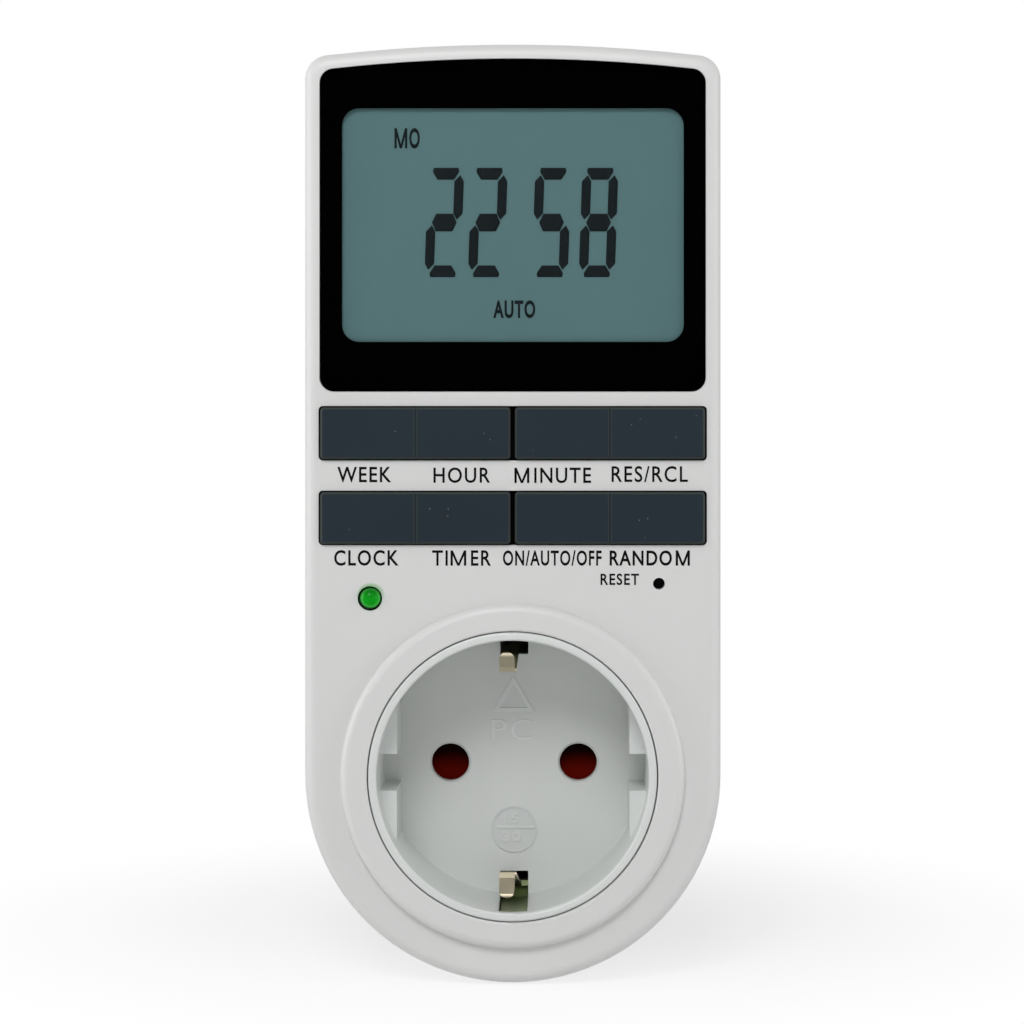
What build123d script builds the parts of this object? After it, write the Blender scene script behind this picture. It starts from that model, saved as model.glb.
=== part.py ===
from build123d import *
import math
import os

# Plug in timer switch with a round earthed two-pin outlet.
#
# Frame: the origin is the centre of the plug boss's end face, on the axis of the plug and the outlet.
# +Y points into the wall, -Y to the person in front, +X to that person's right and +Z up.
# A "height" below is a distance from the boss's end face towards the front, so it is -Y.

# ---------------------------------------------------------------- driving dimensions, millimetres

# Plug boss and pins
pin_spacing = 19.0
plug_pin_diameter = 4.8
plug_pin_length = 19.0
boss_diameter = 36.6
boss_depth = 17.0
boss_wall = 1.8
boss_floor = 2.5
boss_flat_depth = 2.0
guide_rib_width = 4.6
guide_rib_inset = 0.4
earth_channel_width = 7.0
earth_contact_inset = 2.0
earth_contact_width = 6.0
earth_seat_height = 1.0
earth_seat_depth = 1.2
pin_shoulder = 0.2
pin_tip_flat = 0.5
pin_collar_radius = 3.4
pin_collar_height = 1.5
pin_shank_radius = 1.75
retainer_thickness = 2.0
retainer_screw_z = 4.0
retainer_end_gap = 1.0
retainer_edge = 2.5

# Case
case_width = 59.6
case_top = 104.7
case_depth = 38.0
rear_shell_depth = 14.0
case_wall = 2.0
front_wall = 3.0
crown_drop = 1.9
corner_radius = 3.4
front_edge_radius = 1.8
rear_edge_radius = 1.9
seam_chamfer = 0.25

# Outlet
recess_diameter = 38.8
recess_depth = 17.5
cup_wall = 1.2
cup_seam = 0.15
cup_flange_width = 1.3
cup_flange_thickness = 1.2
rim_edge_radius = 0.35
floor_thickness = 2.0
outlet_hole_diameter = 5.56
outlet_hole_chamfer = 0.3
collar_width = 3.85
collar_height = 1.5
collar_edge_radius = 1.2
collar_bore_edge_radius = 0.3
guide_span = 33.6
guide_block_end = 9.8
guide_notch_height = 5.3
guide_block_height = 12.0

# Earth clips that stand in the outlet
clip_foot_width = 3.0
clip_bend_width = 2.35
clip_tongue_width = 2.2
clip_thickness = 0.7
clip_slot_width = 4.15
clip_slot_depth = 3.3
clip_slot_height = 16.1
clip_reach = 14.8
clip_foot_inset = 0.7
clip_knee_inset = 0.4
clip_bend_height = 11.2
clip_shoulder_height = 11.9
clip_shoulder_flare = 0.7
clip_tip_height = 15.0
clip_tip_flare = 2.45
clip_tip_corner = 1.05
clip_press_radius = 0.4
clip_bend_radius = 1.2
clip_stop_thickness = 0.7
clip_stop_start = 30.0
clip_stop_rise = 3.0
clip_stop_end_gap = 0.6

# Shutter
shutter_play = 0.2
shutter_thickness = 1.9
shutter_web = 1.0
shutter_paddle_radius = 3.4
shutter_hub_radius = 4.0
shutter_arm_width = 4.4
pivot_radius = 2.0
pivot_clearance = 0.08
spring_wire = 0.6
spring_gap = 0.8
spring_leg = 6.0
shutter_peg_radius = 0.5
shutter_peg_drop = 1.5

# Display
window_border = 2.15
window_height = 47.7
window_corner_radius = 2.1
lens_thickness = 1.5
mask_thickness = 0.1
lens_fit = 0.08
ledge_width = 1.5
view_side = 5.3
view_height = 33.5
view_corner_radius = 2.5
view_rise = 7.2
lcd_margin = 1.4
lcd_thickness = 2.6
lcd_setback = 0.5
reflector_thickness = 0.3

# Keys
key_row_drop = 5.9
key_row_pitch = 12.1
key_height = 7.4
key_corner_radius = 0.5
key_window_corner = 0.6
key_window_margin = 0.05
key_gap = 0.3
key_slide_gap = 0.2
key_middle_gap = 0.64
key_proud = 0.8
key_edge_chamfer = 0.3
key_groove_width = 0.4
key_groove_depth = 0.1
key_flange_thickness = 1.0
key_flange_width = 0.8
key_axle_radius = 0.5
key_axle_length = 1.1
key_axle_clearance = 0.06
key_axle_setback = 1.5
key_plunger_radius = 1.5
key_plunger_spread = 13.6
key_ear_gap = 0.15
key_ear_length = 3.2
key_frame_setback = 1.5
key_frame_thickness = 1.0
key_frame_margin = 1.8
key_frame_leg = 1.2
mat_thickness = 0.8
mat_margin = 0.7
dome_radius = 3.2
dome_top_radius = 1.9
dome_roof = 0.9
pill_radius = 1.5
pill_thickness = 0.5

# Indicator and reset
led_inset = 9.4
led_drop = 11.5
led_radius = 1.6
led_rise = 1.0
led_gap = 0.15
led_height = 7.0
led_flange_width = 0.35
led_lead_pitch = 2.54
led_lead = 0.5
reset_inset = 8.9
reset_drop = 9.4
reset_hole_radius = 0.85
reset_travel = 0.3
reset_body = 6.0
reset_body_height = 3.5
reset_well = 1.6
reset_button_radius = 1.7

# Contact housing and what grips the plug's pins
housing_margin = 1.5
housing_wall = 1.2
housing_plate = 1.8
housing_screw_inset = 4.0
chamber_lift = 1.5
chamber_gap = 1.2
sleeve_lift = 1.7
sleeve_end_gap = 1.2
sleeve_slit = 1.0
sleeve_grip = 0.02
sleeve_wall = 0.68
tab_width = 5.0
tab_thickness = 0.8
tab_reach = 2.4
tab_inner_end = 3.0
line_tab_gap = 0.2
pin_head = 0.6
bridge_bend = 1.0

# LCD tray
zebra_width = 2.0
zebra_inset = 0.8
zebra_end_gap = 3.0
tray_wall = 1.0
tray_floor = 1.2
tray_opening_inset = 0.6

# Boards and fasteners
board_thickness = 1.6
board_setback = 6.5
board_margin = 1.2
power_board_rise = 4.4
screw_radius = 1.45
screw_head_radius = 2.6
screw_head_height = 2.0
screw_end_gap = 0.9
screw_gap = 0.05
post_radius = 3.0
rear_post_wall = 0.8
counterbore_depth = 7.0
small_screw_radius = 1.0
small_screw_head_radius = 2.0
small_screw_head_height = 1.4
upper_screw_inset = 2.8
upper_screw_drop = 8.7
lower_screw_gap = 0.4
lower_post_radius = 2.8
control_screw_inset = 4.1
control_screw_rise = 2.25
control_screw_above_led = 2.8
power_side_gap = 2.2
power_bottom_rise = 1.0
power_top_drop = 13.2
power_screw_inset = 3.9
power_screw_rise = 7.5
power_screw_drop = 4.65
board_corner_radius = 1.0
board_screw_bite = 3.4
board_post_radius = 2.3
small_post_radius = 2.2
small_pilot_depth = 3.3
driver_socket_radius = 1.1
driver_socket_depth = 1.0
board_end_gap = 0.7
board_side_gap = 1.2

# Parts on the back of the control board. An inset is measured from the board's side edge.
blob_inset = 18.6
blob_drop = 6.0
blob_radius = 7.0
blob_height = 1.8
blob_taper = 28
blob_edge_radius = 1.2
crystal_inset = 6.6
crystal_drop = 10.0
crystal_radius = 1.0
crystal_length = 6.0
cell_inset = 13.6
cell_rise = 6.0
cell_radius = 7.75
cell_height = 5.6
cell_edge_radius = 0.6
cell_tab_width = 3.0
cell_tab_length = 13.0
cell_tab_gap = 1.2
cell_tab_shift = 3.5
cell_tab_sheet = 0.3
chip_drops = [22.0, 27.0, 32.0]
chip_inset = 21.6
chip_pitch = 5.0
chip_length = 2.0
chip_width = 1.25
chip_height = 0.6

# Relay
relay_inset = 12.9
relay_rise = 21.5
relay_width = 15.5
relay_length = 19.0
relay_base_height = 1.6
relay_wall = 0.8
relay_cover_gap = 3.9
relay_cover_radius = 0.6
relay_head_room = 6.0
coil_radius = 3.8
coil_offset = 2.4
core_radius = 1.6
yoke_foot = 0.8
yoke_width = 8.0
yoke_thickness = 1.2
yoke_offset = 7.6
yoke_foot_end = 3.0
pole_radius = 2.8
pole_thickness = 0.8
armature_width = 7.0
armature_thickness = 1.0
armature_gap = 0.22
contact_offset = 6.2
contact_gap = 0.42
contact_radius = 1.5
contact_thickness = 0.8
contact_post_width = 3.4
contact_spring_width = 4.0
contact_spring_thickness = 0.3

# Other parts on the power board
dropper_inset = 13.4
dropper_rise = 2.0
dropper_width = 9.0
dropper_length = 18.0
dropper_gap = 4.4
dropper_edge_radius = 0.7
smoothing_inset = 12.4
smoothing_rise = 20.0
smoothing_radius = 5.0
smoothing_gap = 6.9
smoothing_edge_radius = 0.5
varistor_inset = 6.2
varistor_radius = 5.0
varistor_thickness = 4.0
varistor_edge_radius = 1.0
diode_rise = 18.0
diode_row = 8.0
diode_pitch = 4.0
diode_radius = 1.35
diode_length = 5.2
resistor_rise = 28.0
resistor_row = 7.5
resistor_pitch = 5.0
resistor_radius = 1.2
resistor_length = 6.5
header_inset = 16.4
header_drop = 4.0
header_length = 14.0
header_width = 2.6
header_height = 2.5
header_pitch = 2.54
header_pin = 0.64

# Wires
wire_radius = 1.0
wire_bend = 1.5
wire_lift = 3.0
wire_arch = 1.5
wire_end_gap = 1.2
wire_step = 4.0
wire_offset = 1.4
pad_rise = 2.6
line_pad_inset = 6.4
relay_pad_inset = 18.4
neutral_pad_inset = 16.4

# General clearances
seat_gap = 0.1
slip_gap = 0.3

# ---------------------------------------------------------------- heights, from the boss to the front

split = boss_depth + rear_shell_depth
face = boss_depth + case_depth
rear_inside = boss_depth + case_wall
front_inside = face - front_wall

rim = face + collar_height
recess_floor = rim - recess_depth
floor_back = recess_floor - floor_thickness
shutter_front = floor_back - shutter_play
shutter_back = shutter_front - shutter_thickness
housing_front = shutter_back - shutter_play

board_front = front_inside - board_setback
board_back = board_front - board_thickness
power_back = rear_inside + power_board_rise
power_front = power_back + board_thickness

ledge = face - lens_thickness - mask_thickness
lcd_front = ledge - lcd_setback
lcd_back = lcd_front - lcd_thickness
reflector_back = lcd_back - reflector_thickness

screw_reach = board_back - screw_end_gap - split
key_axle = front_inside - key_axle_setback
key_top = face + key_proud

# ---------------------------------------------------------------- places in the front view

half_width = case_width / 2
view_width = case_width - 2 * view_side
window_top = case_top - window_border
window_bottom = window_top - window_height
view_middle = window_bottom + view_rise + view_height / 2
key_rows = [window_bottom - key_row_drop, window_bottom - key_row_drop - key_row_pitch]
led_x = led_inset - half_width
led_z = key_rows[1] - led_drop
reset_x = half_width - reset_inset
reset_z = key_rows[1] - reset_drop

boss_radius = boss_diameter / 2
boss_flat_span = boss_diameter - 2 * boss_flat_depth
earth_contact_span = boss_diameter - 2 * earth_contact_inset
recess_radius = recess_diameter / 2
cup_radius = recess_radius + cup_wall
collar_bore = cup_radius + cup_seam
collar_radius = collar_bore + collar_width
pin_x = pin_spacing / 2
pin_shoulder_radius = plug_pin_diameter / 2 + pin_shoulder
outlet_hole_radius = outlet_hole_diameter / 2

key_window_width = case_width - 2 * case_wall - 2 * key_window_margin
key_window_height = key_height + 2 * key_slide_gap
key_width = (key_window_width - key_middle_gap) / 2 - key_gap
key_x = (key_middle_gap + key_width) / 2

board_bottom = led_z - board_margin
board_top = case_top - 2 * case_wall - board_end_gap
board_width = case_width - 2 * case_wall - 2 * board_side_gap
board_edge = board_width / 2
power_width = board_width - 2 * power_side_gap
power_edge = power_width / 2
power_bottom = led_z + power_bottom_rise
power_top = case_top - power_top_drop

upper_screw = (half_width - case_wall - upper_screw_inset, case_top - upper_screw_drop)
screw_ring = cup_radius + lower_post_radius + lower_screw_gap
lower_screw = (screw_ring * math.sin(math.radians(45)), -screw_ring * math.cos(math.radians(45)))
case_screws_at = [(s * x, z) for x, z in (upper_screw, lower_screw) for s in (-1, 1)]
control_screw_x = board_edge - control_screw_inset
control_screws_at = [(-control_screw_x, window_bottom + control_screw_rise),
                     (control_screw_x, window_bottom + control_screw_rise),
                     (0, led_z + control_screw_above_led)]
power_screw_x = power_edge - power_screw_inset
power_screw_rows = [power_bottom + power_screw_rise, power_top - power_screw_drop]
power_screws_at = [(s * power_screw_x, z) for z in power_screw_rows for s in (-1, 1)]


# ---------------------------------------------------------------- planes and outlines

def layer(height):
    """A plane parallel to the front face. Its own axes are +X and +Z, and it looks to the front."""
    return Plane.XZ.offset(height)


def section(x):
    """An upright plane seen from the right. Its own axes are height and +Z."""
    return Plane(origin=(x, 0, 0), x_dir=(0, -1, 0), z_dir=(-1, 0, 0))


def case_outline(inset, radius, bottom=None):
    """Straight sides, a crowned top and a round bottom, drawn inset from the case's outer face.

    With a bottom given, the outline ends there in a straight edge.
    """
    half = half_width - inset
    crown_radius = (half_width**2 + crown_drop**2) / (2 * crown_drop)
    shoulder = case_top - crown_radius + math.sqrt((crown_radius - inset) ** 2 - half**2)
    foot = 0 if bottom is None else bottom
    with BuildSketch() as outline:
        with BuildLine():
            Line((-half, foot), (-half, shoulder))
            ThreePointArc((-half, shoulder), (0, case_top - inset), (half, shoulder))
            Line((half, shoulder), (half, foot))
            if bottom is None:
                ThreePointArc((half, 0), (0, -half), (-half, 0))
            else:
                Line((half, foot), (-half, foot))
        make_face()
        fillet(outline.vertices().group_by(Axis.Y)[-1], radius)
        if bottom is not None:
            fillet(outline.vertices().group_by(Axis.Y)[0], radius)
    return outline.sketch


outer_outline = case_outline(0, corner_radius)
inner_outline = case_outline(case_wall, corner_radius - case_wall)
window_outline = case_outline(window_border, window_corner_radius, window_bottom)
lens_outline = case_outline(window_border + lens_fit, window_corner_radius - lens_fit,
                            window_bottom + lens_fit)
ledge_outline = case_outline(window_border + ledge_width, window_corner_radius - ledge_width,
                             view_middle - view_height / 2 - lcd_margin - slip_gap)

os.makedirs("parts", exist_ok=True)

# ---------------------------------------------------------------- front case

with BuildPart() as front_case:
    with BuildSketch(layer(split)):
        add(outer_outline)
    extrude(amount=face - split)
    fillet(front_case.faces().sort_by(Axis.Y)[0].edges(), front_edge_radius)
    chamfer(front_case.faces().sort_by(Axis.Y)[-1].edges(), seam_chamfer)
    with BuildSketch(layer(split)):
        add(inner_outline)
    extrude(amount=front_inside - split, mode=Mode.SUBTRACT)
    # raised collar round the outlet
    with BuildSketch(layer(face)):
        Circle(collar_radius)
    extrude(amount=collar_height)
    fillet(front_case.faces().sort_by(Axis.Y)[0].edges(), collar_edge_radius)
    with BuildSketch(layer(rim)):
        Circle(collar_bore)
    extrude(amount=front_inside - rim, mode=Mode.SUBTRACT)
    bore_edges = front_case.faces().sort_by(Axis.Y)[0].edges().filter_by(
        lambda e: abs(e.radius - collar_bore) < 0.01)
    fillet(bore_edges, collar_bore_edge_radius)
    # seat of the display window, and the opening behind it
    with BuildSketch(layer(face)):
        add(window_outline)
    extrude(amount=ledge - face, mode=Mode.SUBTRACT)
    with BuildSketch(layer(ledge)):
        add(ledge_outline)
    extrude(amount=front_inside - ledge, mode=Mode.SUBTRACT)
    # key windows
    with BuildSketch(layer(face)):
        with Locations(*[(0, z) for z in key_rows]):
            RectangleRounded(key_window_width, key_window_height, key_window_corner)
    extrude(amount=-front_wall, mode=Mode.SUBTRACT)
    # indicator and reset holes
    with BuildSketch(layer(face)):
        with Locations((led_x, led_z)):
            Circle(led_radius + led_gap)
        with Locations((reset_x, reset_z)):
            Circle(reset_hole_radius)
    extrude(amount=-front_wall, mode=Mode.SUBTRACT)
    # posts for the case screws: the upper pair ends under the control board
    with BuildSketch(layer(split)):
        with Locations(*case_screws_at[:2]):
            Circle(post_radius)
    extrude(amount=board_back - split)
    with BuildSketch(layer(split)):
        with Locations(*case_screws_at[2:]):
            Circle(lower_post_radius)
    extrude(amount=front_inside - split)
    with BuildSketch(layer(split)):
        with Locations(*case_screws_at):
            Circle(screw_radius + screw_gap)
    extrude(amount=screw_reach, mode=Mode.SUBTRACT)
    # posts for the control board
    with BuildSketch(layer(board_front)):
        with Locations(*control_screws_at):
            Circle(board_post_radius)
    extrude(amount=board_setback)
    with BuildSketch(layer(board_front)):
        with Locations(*control_screws_at):
            Circle(small_screw_radius + screw_gap)
    extrude(amount=board_setback - case_wall / 2, mode=Mode.SUBTRACT)
front_case.part.label = "front_case"
export_step(front_case.part, "parts/front_case.step")

# ---------------------------------------------------------------- rear case with the plug boss

channel_z = earth_contact_span / 2 - clip_thickness - 2 * seat_gap
channel_back = channel_z - boss_wall
contact_strip_z = (earth_contact_span - clip_thickness) / 2

with BuildPart() as rear_case:
    with BuildSketch(layer(boss_depth)):
        add(outer_outline)
    extrude(amount=rear_shell_depth)
    fillet(rear_case.faces().sort_by(Axis.Y)[-1].edges(), rear_edge_radius)
    chamfer(rear_case.faces().sort_by(Axis.Y)[0].edges(), seam_chamfer)
    with BuildSketch(layer(rear_inside)):
        add(inner_outline)
    extrude(amount=split - rear_inside, mode=Mode.SUBTRACT)
    # boss: round, with a flat each side that keeps a guide rib, and a channel above and below
    with BuildSketch(layer(0)):
        Circle(boss_radius)
        with Locations((-boss_radius, 0), (boss_radius, 0)):
            Rectangle(boss_diameter - boss_flat_span, boss_diameter, mode=Mode.SUBTRACT)
        Rectangle(boss_diameter - 2 * guide_rib_inset, guide_rib_width)
        with Locations((0, -boss_radius), (0, boss_radius)):
            Rectangle(earth_channel_width, 2 * (boss_radius - channel_z), mode=Mode.SUBTRACT)
    extrude(amount=boss_depth)
    # hollow of the boss
    with BuildSketch(layer(boss_floor)):
        Circle(boss_radius - boss_wall)
        Rectangle(boss_flat_span - 2 * boss_wall, boss_diameter, mode=Mode.INTERSECT)
        with Locations((0, -boss_radius), (0, boss_radius)):
            Rectangle(earth_channel_width + 2 * boss_wall, 2 * (boss_radius - channel_back),
                      mode=Mode.SUBTRACT)
    extrude(amount=rear_inside - boss_floor, mode=Mode.SUBTRACT)
    # holes for the plug pins
    with BuildSketch(layer(0)):
        with Locations((-pin_x, 0), (pin_x, 0)):
            Circle(pin_shoulder_radius + screw_gap)
    extrude(amount=boss_floor, mode=Mode.SUBTRACT)
    # slots where the earth contacts pass through the rear wall
    with BuildSketch(layer(boss_depth)):
        with Locations((0, -contact_strip_z), (0, contact_strip_z)):
            Rectangle(earth_contact_width + 2 * seat_gap, clip_thickness + 4 * seat_gap)
    extrude(amount=case_wall, mode=Mode.SUBTRACT)
    # seats under the inner ends of the earth contacts
    with BuildSketch(layer(rear_inside)):
        with Locations((0, -channel_back - earth_seat_depth / 2), (0, channel_back + earth_seat_depth / 2)):
            Rectangle(earth_contact_width, earth_seat_depth)
    extrude(amount=earth_seat_height)
    # posts for the pin retainer
    with BuildSketch(layer(boss_floor)):
        with Locations((0, -retainer_screw_z), (0, retainer_screw_z)):
            Circle(small_post_radius)
    extrude(amount=pin_collar_height)
    with BuildSketch(layer(boss_floor + pin_collar_height)):
        with Locations((0, -retainer_screw_z), (0, retainer_screw_z)):
            Circle(small_screw_radius + screw_gap)
    extrude(amount=-small_pilot_depth, mode=Mode.SUBTRACT)
    # posts for the case screws, with deep counterbores from the wall side
    with BuildSketch(layer(rear_inside)):
        with Locations(*case_screws_at):
            Circle(screw_head_radius + 2 * seat_gap + rear_post_wall)
    extrude(amount=split - rear_inside)
    with BuildSketch(layer(boss_depth)):
        with Locations(*case_screws_at):
            Circle(screw_radius + slip_gap)
    extrude(amount=rear_shell_depth, mode=Mode.SUBTRACT)
    with BuildSketch(layer(boss_depth)):
        with Locations(*case_screws_at):
            Circle(screw_head_radius + 2 * seat_gap)
    extrude(amount=counterbore_depth, mode=Mode.SUBTRACT)
    # posts for the power board
    with BuildSketch(layer(rear_inside)):
        with Locations(*power_screws_at):
            Circle(post_radius)
    extrude(amount=power_board_rise)
    with BuildSketch(layer(rear_inside)):
        with Locations(*power_screws_at):
            Circle(small_screw_radius + screw_gap)
    extrude(amount=power_board_rise, mode=Mode.SUBTRACT)
rear_case.part.label = "rear_case"
export_step(rear_case.part, "parts/rear_case.step")

screw_seat = boss_depth + counterbore_depth
with BuildPart() as case_screws:
    with BuildSketch(layer(screw_seat - screw_head_height)):
        with Locations(*case_screws_at):
            Circle(screw_head_radius)
    extrude(amount=screw_head_height)
    with BuildSketch(layer(screw_seat)):
        with Locations(*case_screws_at):
            Circle(screw_radius)
    extrude(amount=split + screw_reach - slip_gap - screw_seat)
    with BuildSketch(layer(screw_seat - screw_head_height)):
        with Locations(*case_screws_at):
            RegularPolygon(driver_socket_radius, 6)
    extrude(amount=driver_socket_depth, mode=Mode.SUBTRACT)
case_screws.part.label = "case_screws"
export_step(case_screws.part, "parts/case_screws.step")

# ---------------------------------------------------------------- outlet cup

housing_radius = pin_x + shutter_paddle_radius + housing_margin + housing_wall
housing_screw_z = housing_radius - housing_screw_inset
clip_slot_inner = recess_radius - clip_slot_depth
guide_x = guide_span / 2

with BuildPart() as socket_cup:
    with BuildSketch(layer(floor_back)):
        Circle(cup_radius)
    extrude(amount=rim - floor_back)
    with BuildSketch(layer(rim)):
        Circle(recess_radius)
    extrude(amount=-recess_depth, mode=Mode.SUBTRACT)
    fillet(socket_cup.faces().sort_by(Axis.Y)[0].edges(), rim_edge_radius)
    # flange that seats on the back of the front wall
    with BuildSketch(layer(front_inside)):
        Circle(cup_radius + cup_flange_width)
        Circle(cup_radius - cup_wall / 2, mode=Mode.SUBTRACT)
        with Locations(*case_screws_at[2:]):
            Circle(lower_post_radius + slip_gap, mode=Mode.SUBTRACT)
    extrude(amount=-cup_flange_thickness)
    # guide blocks, two each side with a notch between them
    with BuildSketch(layer(recess_floor)):
        for side in (-1, 1):
            with Locations((side * (guide_x + recess_radius) / 2, 0)):
                Rectangle(recess_radius - guide_x, 2 * guide_block_end)
        Rectangle(recess_diameter, guide_notch_height, mode=Mode.SUBTRACT)
        Circle(recess_radius + cup_wall / 2, mode=Mode.INTERSECT)
    extrude(amount=guide_block_height)
    # pin holes
    with BuildSketch(layer(recess_floor)):
        with Locations((-pin_x, 0), (pin_x, 0)):
            Circle(outlet_hole_radius)
    extrude(amount=-floor_thickness, mode=Mode.SUBTRACT)
    hole_rims = socket_cup.edges().filter_by(GeomType.CIRCLE).filter_by(
        lambda e: abs(e.radius - outlet_hole_radius) < 0.01
        and abs(e.center().Y + recess_floor) < 0.01)
    chamfer(hole_rims, outlet_hole_chamfer)
    # slots for the earth clips, through the floor's edge and up the wall
    clip_slot_outer = cup_radius + cup_flange_width
    clip_slot_middle = (clip_slot_inner + clip_slot_outer) / 2
    with BuildSketch(layer(floor_back)):
        with Locations((0, -clip_slot_middle), (0, clip_slot_middle)):
            Rectangle(clip_slot_width, clip_slot_outer - clip_slot_inner)
    extrude(amount=floor_thickness + clip_slot_height, mode=Mode.SUBTRACT)
    # pivot post of the shutter and posts for the contact housing's screws
    with BuildSketch(layer(floor_back)):
        Circle(pivot_radius)
    extrude(amount=housing_front - floor_back)
    with BuildSketch(layer(floor_back)):
        with Locations((0, -housing_screw_z), (0, housing_screw_z)):
            Circle(small_post_radius)
    extrude(amount=housing_front - floor_back)
    with BuildSketch(layer(housing_front)):
        with Locations((0, -housing_screw_z), (0, housing_screw_z)):
            Circle(small_screw_radius + screw_gap)
    extrude(amount=small_pilot_depth, mode=Mode.SUBTRACT)
socket_cup.part.label = "socket_cup"
export_step(socket_cup.part, "parts/socket_cup.step")

# ---------------------------------------------------------------- shutter and contact housing

housing_back = housing_front - housing_plate
sleeve_bore = plug_pin_diameter / 2 + sleeve_grip
sleeve_radius = sleeve_bore + sleeve_wall
chamber_size = 2 * (sleeve_radius + chamber_gap)
chamber_end = rear_inside + chamber_lift
sleeve_back = chamber_end + sleeve_lift
sleeve_length = housing_back - sleeve_end_gap - sleeve_back
tab_slot_z = (chamber_size + housing_wall) / 2
spring_radius = pivot_radius + spring_gap

with BuildPart() as shutter:
    with BuildSketch(layer(shutter_front)):
        Circle(shutter_hub_radius)
        Rectangle(pin_spacing, shutter_arm_width)
        with Locations((-pin_x, 0), (pin_x, 0)):
            Circle(shutter_paddle_radius)
    extrude(amount=-shutter_web)
    with BuildSketch(layer(shutter_front)):
        with Locations((-pin_x, 0), (pin_x, 0)):
            Circle(shutter_paddle_radius)
        with Locations((spring_radius + spring_wire / 2 + seat_gap + shutter_peg_radius, -shutter_peg_drop)):
            Circle(shutter_peg_radius)
    extrude(amount=-shutter_thickness)
    with BuildSketch(layer(shutter_front)):
        Circle(pivot_radius + pivot_clearance)
    extrude(amount=-shutter_thickness, mode=Mode.SUBTRACT)
shutter.part.label = "shutter"
export_step(shutter.part, "parts/shutter.step")

spring_height = (shutter_front - shutter_web + shutter_back) / 2
with BuildPart() as shutter_spring:
    with BuildLine(layer(spring_height)) as spring_path:
        leg = Line((-spring_radius, -housing_screw_z), (-spring_radius, 0))
        ThreePointArc((-spring_radius, 0), (0, spring_radius), (spring_radius, 0))
        Line((spring_radius, 0), (spring_radius, -spring_leg))
    with BuildSketch(Plane(origin=leg @ 0, z_dir=leg % 0)):
        Circle(spring_wire / 2)
    sweep(path=spring_path.wire())
shutter_spring.part.label = "shutter_spring"
export_step(shutter_spring.part, "parts/shutter_spring.step")

with BuildPart() as contact_housing:
    with BuildSketch(layer(housing_back)):
        Circle(housing_radius)
    extrude(amount=floor_back - housing_back)
    with BuildSketch(layer(housing_front)):
        Circle(housing_radius - housing_wall)
    extrude(amount=floor_back - housing_front, mode=Mode.SUBTRACT)
    with BuildSketch(layer(chamber_end)):
        with Locations((-pin_x, 0), (pin_x, 0)):
            RectangleRounded(chamber_size + 2 * housing_wall, chamber_size + 2 * housing_wall, 1)
    extrude(amount=housing_back - chamber_end)
    with BuildSketch(layer(chamber_end)):
        with Locations((-pin_x, 0), (pin_x, 0)):
            Rectangle(chamber_size, chamber_size)
    extrude(amount=housing_back - chamber_end, mode=Mode.SUBTRACT)
    with BuildSketch(layer(chamber_end)):
        with Locations((-pin_x, tab_slot_z), (pin_x, tab_slot_z)):
            Rectangle(tab_width + 2 * seat_gap, 2 * housing_wall)
    extrude(amount=sleeve_back + tab_thickness + slip_gap - chamber_end, mode=Mode.SUBTRACT)
    with BuildSketch(layer(housing_back)):
        with Locations((-pin_x, 0), (pin_x, 0)):
            Circle(outlet_hole_radius + seat_gap)
        with Locations((0, -housing_screw_z), (0, housing_screw_z)):
            Circle(small_screw_radius + slip_gap)
    extrude(amount=housing_plate, mode=Mode.SUBTRACT)
contact_housing.part.label = "contact_housing"
export_step(contact_housing.part, "parts/contact_housing.step")

# ---------------------------------------------------------------- plug pins and outlet contacts

retainer_back = boss_floor + pin_collar_height
retainer_front = retainer_back + retainer_thickness
retainer_length = boss_flat_span - 2 * (boss_wall + retainer_end_gap)
tab_end = chamber_size / 2 + housing_wall + tab_reach
boss_room = math.sqrt((boss_radius - boss_wall) ** 2 - (pin_x + tab_width / 2) ** 2)
line_tab_end = boss_room - line_tab_gap

for name, x in (("line_pin", -pin_x), ("neutral_pin", pin_x)):
    with BuildPart() as plug_pin:
        with BuildSketch(layer(-plug_pin_length)):
            with Locations((x, 0)):
                Circle(plug_pin_diameter / 2)
        extrude(amount=plug_pin_length)
        fillet(plug_pin.faces().sort_by(Axis.Y)[-1].edges(), plug_pin_diameter / 2 - pin_tip_flat)
        with BuildSketch(layer(0)):
            with Locations((x, 0)):
                Circle(pin_shoulder_radius)
        extrude(amount=boss_floor)
        with BuildSketch(layer(boss_floor)):
            with Locations((x, 0)):
                Circle(pin_collar_radius)
        extrude(amount=pin_collar_height)
        with BuildSketch(layer(retainer_back)):
            with Locations((x, 0)):
                Circle(pin_shank_radius)
        extrude(amount=retainer_thickness + tab_thickness + pin_head)
    plug_pin.part.label = name
    export_step(plug_pin.part, f"parts/{name}.step")

with BuildPart() as pin_retainer:
    with BuildSketch(layer(retainer_back)):
        RectangleRounded(retainer_length, 2 * (retainer_screw_z + retainer_edge), 3)
        with Locations((-pin_x, 0), (pin_x, 0)):
            Circle(pin_shank_radius + seat_gap, mode=Mode.SUBTRACT)
        with Locations((0, -retainer_screw_z), (0, retainer_screw_z)):
            Circle(small_screw_radius + slip_gap, mode=Mode.SUBTRACT)
    extrude(amount=retainer_thickness)
pin_retainer.part.label = "pin_retainer"
export_step(pin_retainer.part, "parts/pin_retainer.step")

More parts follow.
